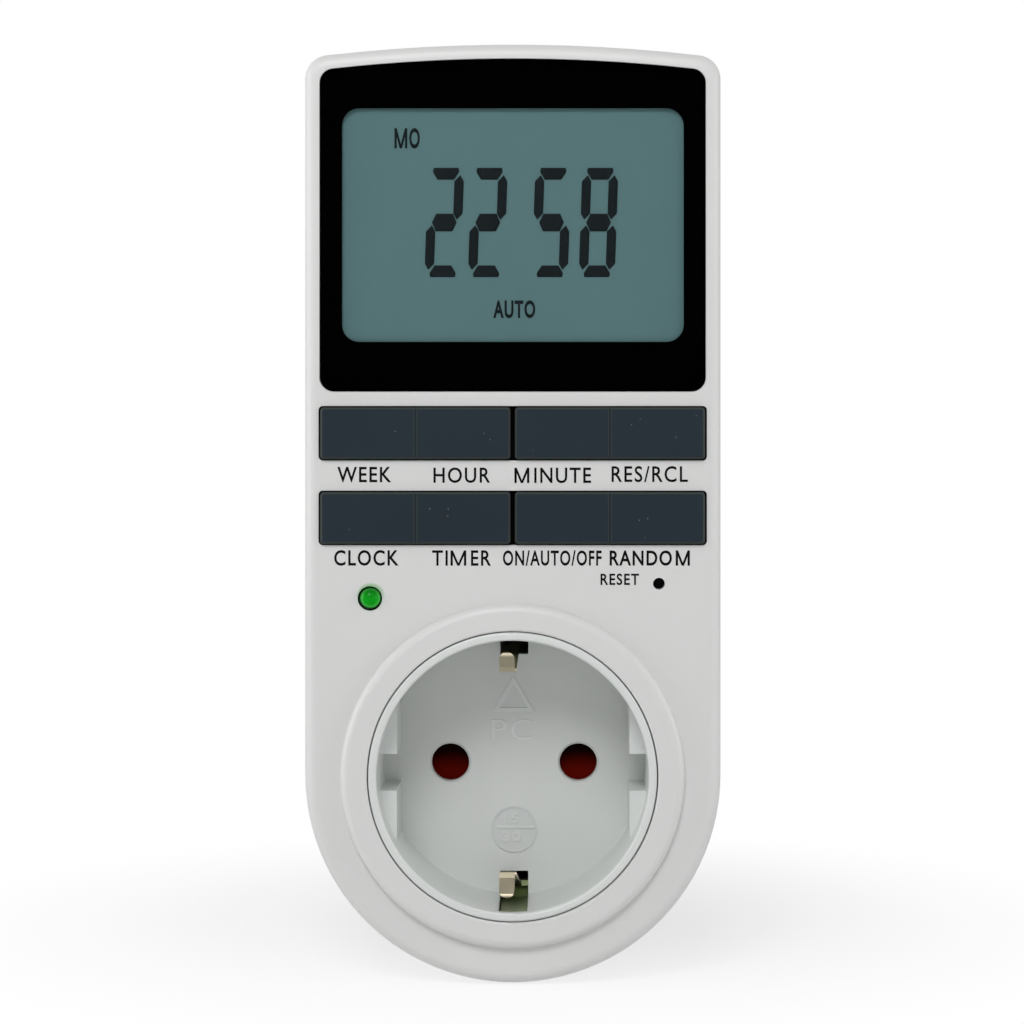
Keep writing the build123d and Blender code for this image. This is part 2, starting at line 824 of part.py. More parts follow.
for name, x in (("line_contact", -pin_x), ("neutral_contact", pin_x)):
    with BuildPart() as contact:
        with BuildSketch(layer(sleeve_back)):
            with Locations((x, 0)):
                Circle(sleeve_radius)
                Circle(sleeve_bore, mode=Mode.SUBTRACT)
                Rectangle(sleeve_slit, 2 * sleeve_radius, align=(Align.CENTER, Align.MAX), mode=Mode.SUBTRACT)
        extrude(amount=sleeve_length)
        with BuildSketch(layer(sleeve_back)):
            with Locations((x, (sleeve_bore + 2 * seat_gap + tab_end) / 2)):
                Rectangle(tab_width, tab_end - sleeve_bore - 2 * seat_gap)
        extrude(amount=tab_thickness)
    contact.part.label = name
    export_step(contact.part, f"parts/{name}.step")

# The neutral side goes straight through: a bar from the pin's riveted end up to the contact's tab.
with BuildPart() as neutral_bar:
    with BuildSketch(section(pin_x)):
        with BuildLine():
            Polyline((retainer_front + tab_thickness / 2, -tab_inner_end),
                     (retainer_front + tab_thickness / 2, tab_end - tab_thickness / 2),
                     (sleeve_back, tab_end - tab_thickness / 2))
        trace(line_width=tab_thickness)
    extrude(amount=tab_width / 2, both=True)
    with BuildSketch(layer(retainer_front)):
        with Locations((pin_x, 0)):
            Circle(pin_shank_radius + screw_gap)
    extrude(amount=tab_thickness + seat_gap, mode=Mode.SUBTRACT)
neutral_bar.part.label = "neutral_bar"
export_step(neutral_bar.part, "parts/neutral_bar.step")

# The line side is switched, so its pin has only a tab for the wire to the relay.
with BuildPart() as line_tab:
    with BuildSketch(layer(retainer_front)):
        with Locations((-pin_x, (line_tab_end - tab_inner_end) / 2)):
            RectangleRounded(tab_width, line_tab_end + tab_inner_end, 1)
        with Locations((-pin_x, 0)):
            Circle(pin_shank_radius + screw_gap, mode=Mode.SUBTRACT)
    extrude(amount=tab_thickness)
line_tab.part.label = "line_tab"
export_step(line_tab.part, "parts/line_tab.step")

# ---------------------------------------------------------------- earth parts

bridge_back = rear_inside + earth_seat_height + tab_thickness
bridge_z = recess_radius - clip_foot_inset
clip_foot = housing_front - seat_gap
riser_end = clip_foot - clip_thickness / 2 - screw_gap
clip_stop_z = clip_slot_outer - seat_gap - clip_stop_thickness / 2
contact_end = 0.9

for name, side in (("upper_plug_earth", 1), ("lower_plug_earth", -1)):
    with BuildPart() as plug_earth:
        with BuildSketch(section(0)):
            with BuildLine():
                FilletPolyline((contact_end, side * contact_strip_z),
                               (bridge_back - clip_thickness / 2, side * contact_strip_z),
                               (bridge_back - clip_thickness / 2, side * (channel_back - earth_seat_depth)),
                               radius=clip_thickness)
            trace(line_width=clip_thickness)
        extrude(amount=earth_contact_width / 2, both=True)
    plug_earth.part.label = name
    export_step(plug_earth.part, f"parts/{name}.step")

with BuildPart() as earth_bridge:
    with BuildSketch(section(0)):
        with BuildLine():
            FilletPolyline((riser_end, bridge_z), (bridge_back + tab_thickness / 2, bridge_z),
                           (bridge_back + tab_thickness / 2, -bridge_z), (riser_end, -bridge_z),
                           radius=bridge_bend)
        trace(line_width=tab_thickness)
    extrude(amount=tab_width / 2, both=True)
    # a leaf beside each clip, in the outer end of its slot, that stops the clip from bending too far
    with BuildSketch(section(0)):
        for side in (-1, 1):
            with BuildLine():
                FilletPolyline((clip_stop_start, side * bridge_z),
                               (clip_stop_start + clip_stop_rise, side * clip_stop_z),
                               (front_inside - clip_stop_end_gap, side * clip_stop_z),
                               radius=clip_bend_radius)
            trace(line_width=clip_stop_thickness)
    extrude(amount=clip_slot_width / 2 - seat_gap, both=True)
earth_bridge.part.label = "earth_bridge"
export_step(earth_bridge.part, "parts/earth_bridge.step")

clip_left = seat_gap - clip_slot_width / 2
clip_bend = recess_floor + clip_bend_height
clip_tip_end = clip_tip_flare + clip_thickness / 2

for name, side in (("upper_earth_clip", 1), ("lower_earth_clip", -1)):
    foot_at = (clip_foot, side * bridge_z)
    bend_at = (clip_bend, side * clip_reach)
    tip_at = (recess_floor + clip_tip_height, side * (clip_reach + clip_tip_flare))
    with BuildPart() as earth_clip:
        # leg: from the foot through the slot to the bend that meets the plug, narrower at the bend
        with BuildSketch(section(clip_left)):
            with BuildLine():
                FilletPolyline(foot_at, (floor_back, side * (bridge_z - clip_knee_inset)), bend_at,
                               radius=clip_bend_radius)
            trace(line_width=clip_thickness)
            with Locations(foot_at, bend_at):
                Circle(clip_thickness / 2)
        extrude(amount=-clip_foot_width)
        with BuildSketch(layer(clip_foot - clip_thickness)):
            Polygon((clip_left + clip_bend_width, side * (clip_reach - clip_thickness)),
                    (clip_left + clip_foot_width, side * (clip_reach - clip_thickness)),
                    (clip_left + clip_foot_width, side * bridge_z), align=None)
        extrude(amount=clip_bend + 2 * clip_thickness - clip_foot, mode=Mode.SUBTRACT)
        # tongue: from the bend back towards the wall, with a round tip
        with BuildSketch(section(clip_left)):
            with BuildLine():
                FilletPolyline(bend_at, (recess_floor + clip_shoulder_height,
                                         side * (clip_reach + clip_shoulder_flare)), tip_at,
                               radius=clip_press_radius)
            trace(line_width=clip_thickness)
            with Locations(bend_at, tip_at):
                Circle(clip_thickness / 2)
        extrude(amount=-clip_tongue_width)
        with BuildSketch(layer(clip_bend + clip_thickness)):
            with Locations((clip_left + clip_tongue_width / 2, side * clip_reach)):
                Rectangle(2 * clip_foot_width, 2 * clip_tip_end)
                RectangleRounded(clip_tongue_width, 2 * clip_tip_end, clip_tip_corner, mode=Mode.SUBTRACT)
        extrude(amount=clip_tip_height - clip_bend_height, mode=Mode.SUBTRACT)
    earth_clip.part.label = name
    export_step(earth_clip.part, f"parts/{name}.step")

# ---------------------------------------------------------------- display

with BuildPart() as display_lens:
    with BuildSketch(layer(face)):
        add(lens_outline)
    extrude(amount=-lens_thickness)
display_lens.part.label = "display_lens"
export_step(display_lens.part, "parts/display_lens.step")

with BuildPart() as lens_mask:
    with BuildSketch(layer(face - lens_thickness)):
        add(lens_outline)
        with Locations((0, view_middle)):
            RectangleRounded(view_width, view_height, view_corner_radius, mode=Mode.SUBTRACT)
    extrude(amount=-mask_thickness)
lens_mask.part.label = "lens_mask"
export_step(lens_mask.part, "parts/lens_mask.step")

lcd_width = view_width + 2 * lcd_margin
lcd_height = view_height + 2 * lcd_margin
zebra_z = lcd_height / 2 - zebra_inset - zebra_width / 2
zebra_length = lcd_width - 2 * zebra_end_gap
tray_back = reflector_back - tray_floor
tray_front = front_inside - seat_gap

with BuildPart() as lcd_panel:
    with BuildSketch(layer(lcd_front)):
        with Locations((0, view_middle)):
            Rectangle(lcd_width, lcd_height)
    extrude(amount=-lcd_thickness)
lcd_panel.part.label = "lcd_panel"
export_step(lcd_panel.part, "parts/lcd_panel.step")

with BuildPart() as lcd_reflector:
    with BuildSketch(layer(lcd_back)):
        with Locations((0, view_middle)):
            Rectangle(lcd_width, 2 * (zebra_z - zebra_width / 2 - slip_gap))
    extrude(amount=-reflector_thickness)
lcd_reflector.part.label = "lcd_reflector"
export_step(lcd_reflector.part, "parts/lcd_reflector.step")

with BuildPart() as zebra_connectors:
    with BuildSketch(layer(board_front)):
        with Locations((0, view_middle - zebra_z), (0, view_middle + zebra_z)):
            Rectangle(zebra_length, zebra_width)
    extrude(amount=lcd_back - board_front)
zebra_connectors.part.label = "zebra_connectors"
export_step(zebra_connectors.part, "parts/zebra_connectors.step")

with BuildPart() as lcd_frame:
    with BuildSketch(layer(board_front)):
        with Locations((0, view_middle)):
            Rectangle(lcd_width + 2 * (tray_wall + seat_gap), lcd_height + 2 * (tray_wall + seat_gap))
    extrude(amount=tray_front - board_front)
    with BuildSketch(layer(tray_front)):
        with Locations((0, view_middle)):
            Rectangle(lcd_width + 2 * seat_gap, lcd_height + 2 * seat_gap)
    extrude(amount=reflector_back - tray_front, mode=Mode.SUBTRACT)
    with BuildSketch(layer(board_front)):
        with Locations((0, view_middle)):
            Rectangle(lcd_width - 2 * tray_opening_inset, lcd_height - 2 * tray_opening_inset)
    extrude(amount=tray_back - board_front, mode=Mode.SUBTRACT)
    with BuildSketch(layer(tray_back)):
        with Locations((0, view_middle - zebra_z), (0, view_middle + zebra_z)):
            Rectangle(zebra_length + 2 * seat_gap, zebra_width + 2 * seat_gap)
    extrude(amount=tray_floor, mode=Mode.SUBTRACT)
lcd_frame.part.label = "lcd_frame"
export_step(lcd_frame.part, "parts/lcd_frame.step")

# ---------------------------------------------------------------- keys

key_back = key_axle - key_flange_thickness / 2
key_frame_front = key_axle - key_frame_setback
key_frame_back = key_frame_front - key_frame_thickness
dome_top = key_frame_back - seat_gap
dome_height = dome_top - board_front - mat_thickness
axle_end = key_height / 2 + key_flange_width + key_axle_length
ear_inner = key_height / 2 + key_flange_width + key_ear_gap
ear_width = axle_end - ear_inner - screw_gap
key_cells = [(s * key_x, z) for z in key_rows for s in (-1, 1)]
dome_cells = [(x + s * key_plunger_spread / 2, z) for x, z in key_cells for s in (-1, 1)]
key_names = ["week_hour_key", "minute_recall_key", "clock_timer_key", "mode_random_key"]

for name, (x, z) in zip(key_names, key_cells):
    with BuildPart() as key:
        with BuildSketch(layer(key_back)):
            with Locations((x, z)):
                RectangleRounded(key_width, key_height, key_corner_radius)
        extrude(amount=key_top - key_back)
        chamfer(key.faces().sort_by(Axis.Y)[0].edges(), key_edge_chamfer)
        # shallow groove over the pivot, where the two ends of the key meet
        with BuildSketch(layer(key_top)):
            with Locations((x, z)):
                Rectangle(key_groove_width, key_height)
        extrude(amount=-key_groove_depth, mode=Mode.SUBTRACT)
        # flange that stops behind the case, axle stubs above and below, a plunger behind each end
        with BuildSketch(layer(key_back)):
            with Locations((x, z)):
                Rectangle(key_width - 2 * key_slide_gap, key_height + 2 * key_flange_width)
        extrude(amount=key_flange_thickness)
        with BuildSketch(Plane.XY.offset(z - axle_end)):
            with Locations((x, -key_axle)):
                Circle(key_axle_radius)
        extrude(amount=2 * axle_end)
        with BuildSketch(layer(key_back)):
            with Locations((x - key_plunger_spread / 2, z), (x + key_plunger_spread / 2, z)):
                Circle(key_plunger_radius)
        extrude(amount=dome_top + seat_gap - key_back)
    key.part.label = name
    export_step(key.part, f"parts/{name}.step")

frame_width = key_window_width - 2 * key_slide_gap
frame_middle = (key_rows[0] + key_rows[1]) / 2
leg_x = (frame_width - key_frame_leg) / 2
with BuildPart() as key_frame:
    with BuildSketch(layer(key_frame_back)):
        with Locations((0, frame_middle)):
            RectangleRounded(frame_width, key_row_pitch + key_height + 2 * key_frame_margin, 1)
    extrude(amount=key_frame_thickness)
    with BuildSketch(layer(key_frame_front)):
        for x, z in key_cells:
            with Locations((x, z - ear_inner - ear_width / 2), (x, z + ear_inner + ear_width / 2)):
                Rectangle(key_ear_length, ear_width)
    extrude(amount=key_axle - key_frame_front)
    with BuildSketch(Plane.XY.offset(key_rows[1] - axle_end - 1)):
        with Locations((-key_x, -key_axle), (key_x, -key_axle)):
            Circle(key_axle_radius + key_axle_clearance)
    extrude(amount=key_row_pitch + 2 * axle_end + 2, mode=Mode.SUBTRACT)
    with BuildSketch(layer(key_frame_back)):
        with Locations(*dome_cells):
            Circle(key_plunger_radius + slip_gap)
    extrude(amount=key_frame_thickness, mode=Mode.SUBTRACT)
    # legs down to the control board, clear of the mat
    with BuildSketch(layer(board_front)):
        with Locations((-leg_x, frame_middle), (leg_x, frame_middle)):
            Rectangle(key_frame_leg, key_row_pitch + key_height)
    extrude(amount=key_frame_back - board_front)
key_frame.part.label = "key_frame"
export_step(key_frame.part, "parts/key_frame.step")

with BuildPart() as keypad_mat:
    with BuildSketch(layer(board_front)):
        with Locations((0, frame_middle)):
            RectangleRounded(frame_width - 2 * key_frame_leg - 2 * slip_gap,
                             key_row_pitch + key_height + 2 * mat_margin, 1)
    extrude(amount=mat_thickness)
    with BuildSketch(layer(board_front + mat_thickness)):
        with Locations(*dome_cells):
            Circle(dome_radius)
    extrude(amount=dome_height, taper=math.degrees(math.atan((dome_radius - dome_top_radius) / dome_height)))
    with BuildSketch(layer(board_front)):
        with Locations(*dome_cells):
            Circle(dome_top_radius)
    extrude(amount=dome_top - dome_roof - board_front, mode=Mode.SUBTRACT)
keypad_mat.part.label = "keypad_mat"
export_step(keypad_mat.part, "parts/keypad_mat.step")

with BuildPart() as carbon_pills:
    with BuildSketch(layer(dome_top - dome_roof)):
        with Locations(*dome_cells):
            Circle(pill_radius)
    extrude(amount=-pill_thickness)
carbon_pills.part.label = "carbon_pills"
export_step(carbon_pills.part, "parts/carbon_pills.step")

# ---------------------------------------------------------------- control board and what it carries

with BuildPart() as control_board:
    with BuildSketch(layer(board_back)):
        with Locations((0, (board_top + board_bottom) / 2)):
            RectangleRounded(board_width, board_top - board_bottom, board_corner_radius)
        with Locations(*control_screws_at):
            Circle(small_screw_radius + slip_gap, mode=Mode.SUBTRACT)
    extrude(amount=board_thickness)
control_board.part.label = "control_board"
export_step(control_board.part, "parts/control_board.step")

board_screw_places = [(control_screws_at, board_back, board_thickness + board_screw_bite),
                      (power_screws_at, power_front, -board_thickness - board_screw_bite)]
with BuildPart() as board_screws:
    for places, seat, reach in board_screw_places:
        with BuildSketch(layer(seat)):
            with Locations(*places):
                Circle(small_screw_head_radius)
        extrude(amount=math.copysign(small_screw_head_height, -reach))
        with BuildSketch(layer(seat)):
            with Locations(*places):
                Circle(small_screw_radius)
        extrude(amount=reach)
board_screws.part.label = "board_screws"
export_step(board_screws.part, "parts/board_screws.step")

screw_bite = small_pilot_depth - slip_gap
inner_screw_places = [
    ([(0, -retainer_screw_z), (0, retainer_screw_z)], retainer_front, -retainer_thickness - screw_bite),
    ([(0, -housing_screw_z), (0, housing_screw_z)], housing_back, housing_plate + screw_bite),
]
with BuildPart() as inner_screws:
    for places, seat, reach in inner_screw_places:
        with BuildSketch(layer(seat)):
            with Locations(*places):
                Circle(small_screw_head_radius)
        extrude(amount=math.copysign(small_screw_head_height, -reach))
        with BuildSketch(layer(seat)):
            with Locations(*places):
                Circle(small_screw_radius)
        extrude(amount=reach)
inner_screws.part.label = "inner_screws"
export_step(inner_screws.part, "parts/inner_screws.step")

led_flange = face + led_rise - led_height
with BuildPart() as status_led:
    with BuildSketch(layer(led_flange)):
        with Locations((led_x, led_z)):
            Circle(led_radius + led_flange_width)
    extrude(amount=1)
    with BuildSketch(layer(led_flange)):
        with Locations((led_x, led_z)):
            Circle(led_radius)
    extrude(amount=face + led_rise - led_flange)
    fillet(status_led.faces().sort_by(Axis.Y)[0].edges(), led_radius - 0.05)
    # leads down to the board
    with BuildSketch(layer(board_front)):
        with Locations((led_x, led_z)):
            with GridLocations(led_lead_pitch, 1, 2, 1):
                Rectangle(led_lead, led_lead)
    extrude(amount=led_flange - board_front)
status_led.part.label = "status_led"
export_step(status_led.part, "parts/status_led.step")

reset_body_front = board_front + reset_body_height
plunger_back = reset_body_front - reset_well + reset_travel + seat_gap
with BuildPart() as reset_switch:
    with BuildSketch(layer(board_front)):
        with Locations((reset_x, reset_z)):
            RectangleRounded(reset_body, reset_body, 0.4)
    extrude(amount=reset_body_height)
    with BuildSketch(layer(reset_body_front)):
        with Locations((reset_x, reset_z)):
            Circle(reset_button_radius + pivot_clearance)
    extrude(amount=-reset_well, mode=Mode.SUBTRACT)
reset_switch.part.label = "reset_switch"
export_step(reset_switch.part, "parts/reset_switch.step")

with BuildPart() as reset_plunger:
    with BuildSketch(layer(plunger_back)):
        with Locations((reset_x, reset_z)):
            Circle(reset_button_radius)
    extrude(amount=front_inside - slip_gap - plunger_back)
reset_plunger.part.label = "reset_plunger"
export_step(reset_plunger.part, "parts/reset_plunger.step")

# Back of the control board: controller under its blob, crystal, backup cell and its tabs, chip parts
with BuildPart() as controller:
    with BuildSketch(layer(board_back)):
        with Locations((blob_inset - board_edge, view_middle - blob_drop)):
            Circle(blob_radius)
    extrude(amount=-blob_height, taper=blob_taper)
    fillet(controller.faces().sort_by(Axis.Y)[-1].edges(), blob_edge_radius)
controller.part.label = "controller"
export_step(controller.part, "parts/controller.step")

with BuildPart() as crystal:
    with BuildSketch(Plane.XY.offset(view_middle - crystal_drop - crystal_length / 2)):
        with Locations((crystal_inset - board_edge, crystal_radius - board_back)):
            Circle(crystal_radius)
    extrude(amount=crystal_length)
crystal.part.label = "crystal"
export_step(crystal.part, "parts/crystal.step")

cell_x = board_edge - cell_inset
cell_z = view_middle + cell_rise
with BuildPart() as backup_cell:
    with BuildSketch(layer(board_back - tab_thickness)):
        with Locations((cell_x, cell_z)):
            Circle(cell_radius)
    extrude(amount=-cell_height)
    fillet(backup_cell.edges().filter_by(GeomType.CIRCLE), cell_edge_radius)
backup_cell.part.label = "backup_cell"
export_step(backup_cell.part, "parts/backup_cell.step")

cell_back_y = -(board_back - tab_thickness - cell_height) + cell_tab_sheet / 2
cell_tab_x = cell_x + cell_radius + cell_tab_gap
with BuildPart() as cell_tabs:
    with BuildSketch(layer(board_back)):
        with Locations((cell_x - cell_tab_shift, cell_z)):
            Rectangle(cell_tab_length, cell_tab_width)
    extrude(amount=-tab_thickness)
    with BuildSketch(Plane.XY.offset(cell_z - cell_tab_width / 2)):
        with BuildLine():
            Polyline((cell_x, cell_back_y), (cell_tab_x, cell_back_y), (cell_tab_x, -board_back))
        trace(line_width=cell_tab_sheet)
    extrude(amount=cell_tab_width)
cell_tabs.part.label = "cell_tabs"
export_step(cell_tabs.part, "parts/cell_tabs.step")

with BuildPart() as chip_parts:
    for drop in chip_drops:
        with BuildSketch(layer(board_back)):
            with Locations((board_edge - chip_inset, view_middle - drop)):
                with GridLocations(chip_pitch, 1, 6, 1):
                    Rectangle(chip_length, chip_width)
        extrude(amount=-chip_height)
chip_parts.part.label = "chip_parts"
export_step(chip_parts.part, "parts/chip_parts.step")

# ---------------------------------------------------------------- power board and what it carries

with BuildPart() as power_board:
    with BuildSketch(layer(power_back)):
        with Locations((0, (power_bottom + power_top) / 2)):
            RectangleRounded(power_width, power_top - power_bottom, board_corner_radius)
        with Locations(*power_screws_at):
            Circle(small_screw_radius + slip_gap, mode=Mode.SUBTRACT)
    extrude(amount=board_thickness)
power_board.part.label = "power_board"
export_step(power_board.part, "parts/power_board.step")

# Relay: its coil pulls the armature, which carries the moving contact down onto the fixed one.
room = board_back - power_front
relay_x = relay_inset - power_edge
relay_z = power_bottom + relay_rise
relay_cover_height = room - relay_cover_gap
coil_length = relay_cover_height - relay_head_room
coil_z = relay_z - coil_offset
yoke_z = relay_z - yoke_offset
contact_z = relay_z + contact_offset
relay_deck = power_front + relay_base_height
coil_back = relay_deck + yoke_foot
pole_top = coil_back + coil_length + pole_thickness
armature_under = pole_top + armature_gap
yoke_top = armature_under - screw_gap
contact_face = armature_under - contact_gap

with BuildPart() as relay_base:
    with BuildSketch(layer(power_front)):
        with Locations((relay_x, relay_z)):
            Rectangle(relay_width - 2 * (relay_wall + seat_gap), relay_length - 2 * (relay_wall + seat_gap))
    extrude(amount=relay_base_height)
relay_base.part.label = "relay_base"
export_step(relay_base.part, "parts/relay_base.step")

with BuildPart() as relay_cover:
    with BuildSketch(layer(power_front)):
        with Locations((relay_x, relay_z)):
            RectangleRounded(relay_width, relay_length, relay_cover_radius)
    extrude(amount=relay_cover_height)
    with BuildSketch(layer(power_front)):
        with Locations((relay_x, relay_z)):
            Rectangle(relay_width - 2 * relay_wall, relay_length - 2 * relay_wall)
    extrude(amount=relay_cover_height - relay_wall, mode=Mode.SUBTRACT)
relay_cover.part.label = "relay_cover"
export_step(relay_cover.part, "parts/relay_cover.step")

with BuildPart() as relay_coil:
    with BuildSketch(layer(coil_back)):
        with Locations((relay_x, coil_z)):
            Circle(coil_radius)
            Circle(core_radius + screw_gap, mode=Mode.SUBTRACT)
    extrude(amount=coil_length)
relay_coil.part.label = "relay_coil"
export_step(relay_coil.part, "parts/relay_coil.step")

yoke_back = yoke_z - yoke_thickness / 2
yoke_foot_length = coil_z + yoke_foot_end - yoke_back
with BuildPart() as relay_yoke:
    with BuildSketch(layer(relay_deck)):
        with Locations((relay_x, yoke_back + yoke_foot_length / 2)):
            Rectangle(yoke_width, yoke_foot_length)
    extrude(amount=yoke_foot)
    with BuildSketch(layer(relay_deck)):
        with Locations((relay_x, coil_z)):
            Circle(core_radius)
    extrude(amount=pole_top - relay_deck)
    with BuildSketch(layer(pole_top)):
        with Locations((relay_x, coil_z)):
            Circle(pole_radius)
    extrude(amount=-pole_thickness)
    with BuildSketch(layer(relay_deck)):
        with Locations((relay_x, yoke_z)):
            Rectangle(yoke_width, yoke_thickness)
    extrude(amount=yoke_top - relay_deck)
relay_yoke.part.label = "relay_yoke"
export_step(relay_yoke.part, "parts/relay_yoke.step")

armature_length = coil_z + pole_radius - yoke_z
with BuildPart() as relay_armature:
    with BuildSketch(layer(armature_under)):
        with Locations((relay_x, yoke_z + armature_length / 2)):
            Rectangle(armature_width, armature_length)
    extrude(amount=armature_thickness)
relay_armature.part.label = "relay_armature"
export_step(relay_armature.part, "parts/relay_armature.step")

contact_spring_length = contact_z + contact_radius - coil_z
with BuildPart() as moving_contact:
    with BuildSketch(layer(armature_under + armature_thickness)):
        with Locations((relay_x, coil_z + contact_spring_length / 2)):
            Rectangle(contact_spring_width, contact_spring_length)
    extrude(amount=contact_spring_thickness)
    with BuildSketch(layer(armature_under)):
        with Locations((relay_x, contact_z)):
            Circle(contact_radius)
    extrude(amount=armature_thickness)
moving_contact.part.label = "moving_contact"
export_step(moving_contact.part, "parts/moving_contact.step")

with BuildPart() as fixed_contact:
    with BuildSketch(layer(relay_deck)):
        with Locations((relay_x, contact_z)):
            Rectangle(contact_post_width, contact_thickness)
    extrude(amount=contact_face - contact_thickness - relay_deck)
    with BuildSketch(layer(contact_face)):
        with Locations((relay_x, contact_z)):
            Circle(contact_radius)
    extrude(amount=-contact_thickness)
fixed_contact.part.label = "fixed_contact"
export_step(fixed_contact.part, "parts/fixed_contact.step")

# Mains dropper, smoothing capacitor, varistor, rectifier diodes and resistors
with BuildPart() as dropper_capacitor:
    with BuildSketch(layer(power_front)):
        with Locations((power_edge - dropper_inset, relay_z + dropper_rise)):
            RectangleRounded(dropper_width, dropper_length, dropper_edge_radius)
    extrude(amount=room - dropper_gap)
    fillet(dropper_capacitor.faces().sort_by(Axis.Y)[0].edges(), dropper_edge_radius - seat_gap)
dropper_capacitor.part.label = "dropper_capacitor"
export_step(dropper_capacitor.part, "parts/dropper_capacitor.step")

with BuildPart() as smoothing_capacitor:
    with BuildSketch(layer(power_front)):
        with Locations((smoothing_inset - power_edge, relay_z + smoothing_rise)):
            Circle(smoothing_radius)
    extrude(amount=room - smoothing_gap)
    fillet(smoothing_capacitor.edges().filter_by(GeomType.CIRCLE), smoothing_edge_radius)
smoothing_capacitor.part.label = "smoothing_capacitor"
export_step(smoothing_capacitor.part, "parts/smoothing_capacitor.step")

with BuildPart() as varistor:
    with BuildSketch(Plane.YZ.offset(power_edge - varistor_inset)):
        with Locations((-power_front - varistor_radius, relay_z)):
            Circle(varistor_radius)
    extrude(amount=varistor_thickness)
    fillet(varistor.edges().filter_by(GeomType.CIRCLE), varistor_edge_radius)
varistor.part.label = "varistor"
export_step(varistor.part, "parts/varistor.step")

with BuildPart() as rectifier_diodes:
    with BuildSketch(Plane.XY.offset(relay_z + diode_rise)):
        with Locations((diode_row, -power_front - diode_radius)):
            with GridLocations(diode_pitch, 1, 4, 1):
                Circle(diode_radius)
    extrude(amount=diode_length)
rectifier_diodes.part.label = "rectifier_diodes"
export_step(rectifier_diodes.part, "parts/rectifier_diodes.step")

with BuildPart() as resistors:
    with BuildSketch(Plane.XY.offset(relay_z + resistor_rise)):
        with Locations((resistor_row, -power_front - resistor_radius)):
            with GridLocations(resistor_pitch, 1, 4, 1):
                Circle(resistor_radius)
    extrude(amount=resistor_length)
resistors.part.label = "resistors"
export_step(resistors.part, "parts/resistors.step")

# Header that carries the low-voltage supply and the relay signal to the control board
with BuildPart() as board_header:
    with BuildSketch(layer(power_front)):
        with Locations((header_inset - power_edge, power_top - header_drop)):
            Rectangle(header_length, header_width)
    extrude(amount=header_height)
    with BuildSketch(layer(power_front)):
        with Locations((header_inset - power_edge, power_top - header_drop)):
            with GridLocations(header_pitch, 1, 5, 1):
                Rectangle(header_pin, header_pin)
    extrude(amount=room)
board_header.part.label = "board_header"
export_step(board_header.part, "parts/board_header.step")

# ---------------------------------------------------------------- wires

pad_z = power_bottom + pad_rise
pad_front = power_front + wire_lift + wire_arch
line_pad_x = line_pad_inset - power_edge
relay_pad_x = relay_pad_inset - power_edge
neutral_pad_x = power_edge - neutral_pad_inset
wire_z = line_tab_end - wire_end_gap
arch = power_front + wire_lift
tap = (rear_inside + sleeve_back) / 2
wires = {
    "pin_wire": [(-pin_x - wire_offset, retainer_front + tab_thickness, wire_z),
                 (-pin_x - wire_offset, rear_inside, wire_z),
                 (-pin_x - wire_step, arch, (wire_z + pad_z) / 2),
                 (line_pad_x, pad_front, pad_z),
                 (line_pad_x, power_front, pad_z)],
    "contact_wire": [(wire_offset - pin_x, sleeve_back + tab_thickness, tab_end - wire_end_gap),
                     (wire_offset - pin_x, arch, tab_end - wire_end_gap),
                     (relay_pad_x, pad_front, pad_z),
                     (relay_pad_x, power_front, pad_z)],
    "neutral_wire": [(pin_x, tap, tab_end),
                     (pin_x, tap, tab_end + wire_step),
                     (pin_x, arch, tab_end + 2 * wire_step),
                     (neutral_pad_x, pad_front, pad_z),
                     (neutral_pad_x, power_front, pad_z)],
}
for name, route in wires.items():
    points = [(x, -height, z) for x, height, z in route]
    with BuildPart() as wire:
        with BuildLine() as wire_path:
            FilletPolyline(*points, radius=wire_bend)
        start = wire_path.line
        with BuildSketch(Plane(origin=start @ 0, z_dir=start % 0)):
            Circle(wire_radius)
        sweep(path=wire_path.wire())
    wire.part.label = name
    export_step(wire.part, f"parts/{name}.step")
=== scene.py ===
# %% [markdown]
# # A plug in timer, finished in Blender
# The shape of this timer is already made: a white case, a display, four rocking double keys, a lamp and a
# round earthed outlet. This lesson gives that shape its looks. It adds what is printed, lit or moulded in
# relief, and gives every part a finish of its own, built from nodes.

import math
from types import SimpleNamespace

import bmesh
import bpy
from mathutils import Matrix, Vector


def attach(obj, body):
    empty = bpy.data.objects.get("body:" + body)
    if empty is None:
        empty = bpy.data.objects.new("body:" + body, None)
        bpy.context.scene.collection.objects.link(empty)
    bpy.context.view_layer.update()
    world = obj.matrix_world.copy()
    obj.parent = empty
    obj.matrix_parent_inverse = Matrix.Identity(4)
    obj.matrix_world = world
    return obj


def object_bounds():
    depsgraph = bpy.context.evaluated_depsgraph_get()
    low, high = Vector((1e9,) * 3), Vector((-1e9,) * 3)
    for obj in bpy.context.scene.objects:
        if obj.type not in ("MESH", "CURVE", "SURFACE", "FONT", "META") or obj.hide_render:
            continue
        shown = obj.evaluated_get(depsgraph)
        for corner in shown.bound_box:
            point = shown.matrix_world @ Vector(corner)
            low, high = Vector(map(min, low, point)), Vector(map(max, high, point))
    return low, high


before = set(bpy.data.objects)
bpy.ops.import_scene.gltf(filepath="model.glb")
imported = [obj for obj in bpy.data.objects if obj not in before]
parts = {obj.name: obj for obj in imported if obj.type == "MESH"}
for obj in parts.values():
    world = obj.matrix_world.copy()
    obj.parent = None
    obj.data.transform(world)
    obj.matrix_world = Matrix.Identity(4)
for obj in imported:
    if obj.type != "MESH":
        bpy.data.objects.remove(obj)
cad_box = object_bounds()

# %% [markdown]
# ## Camera
# The timer is seen from the front, from arm's length, by an eye a little above and to the right of its
# outlet. A camera that looks level and straight ahead keeps the upright edges parallel. Its frame is slid
# with the lens shift, as a view camera does it, so that nothing is tilted to bring the timer into view.

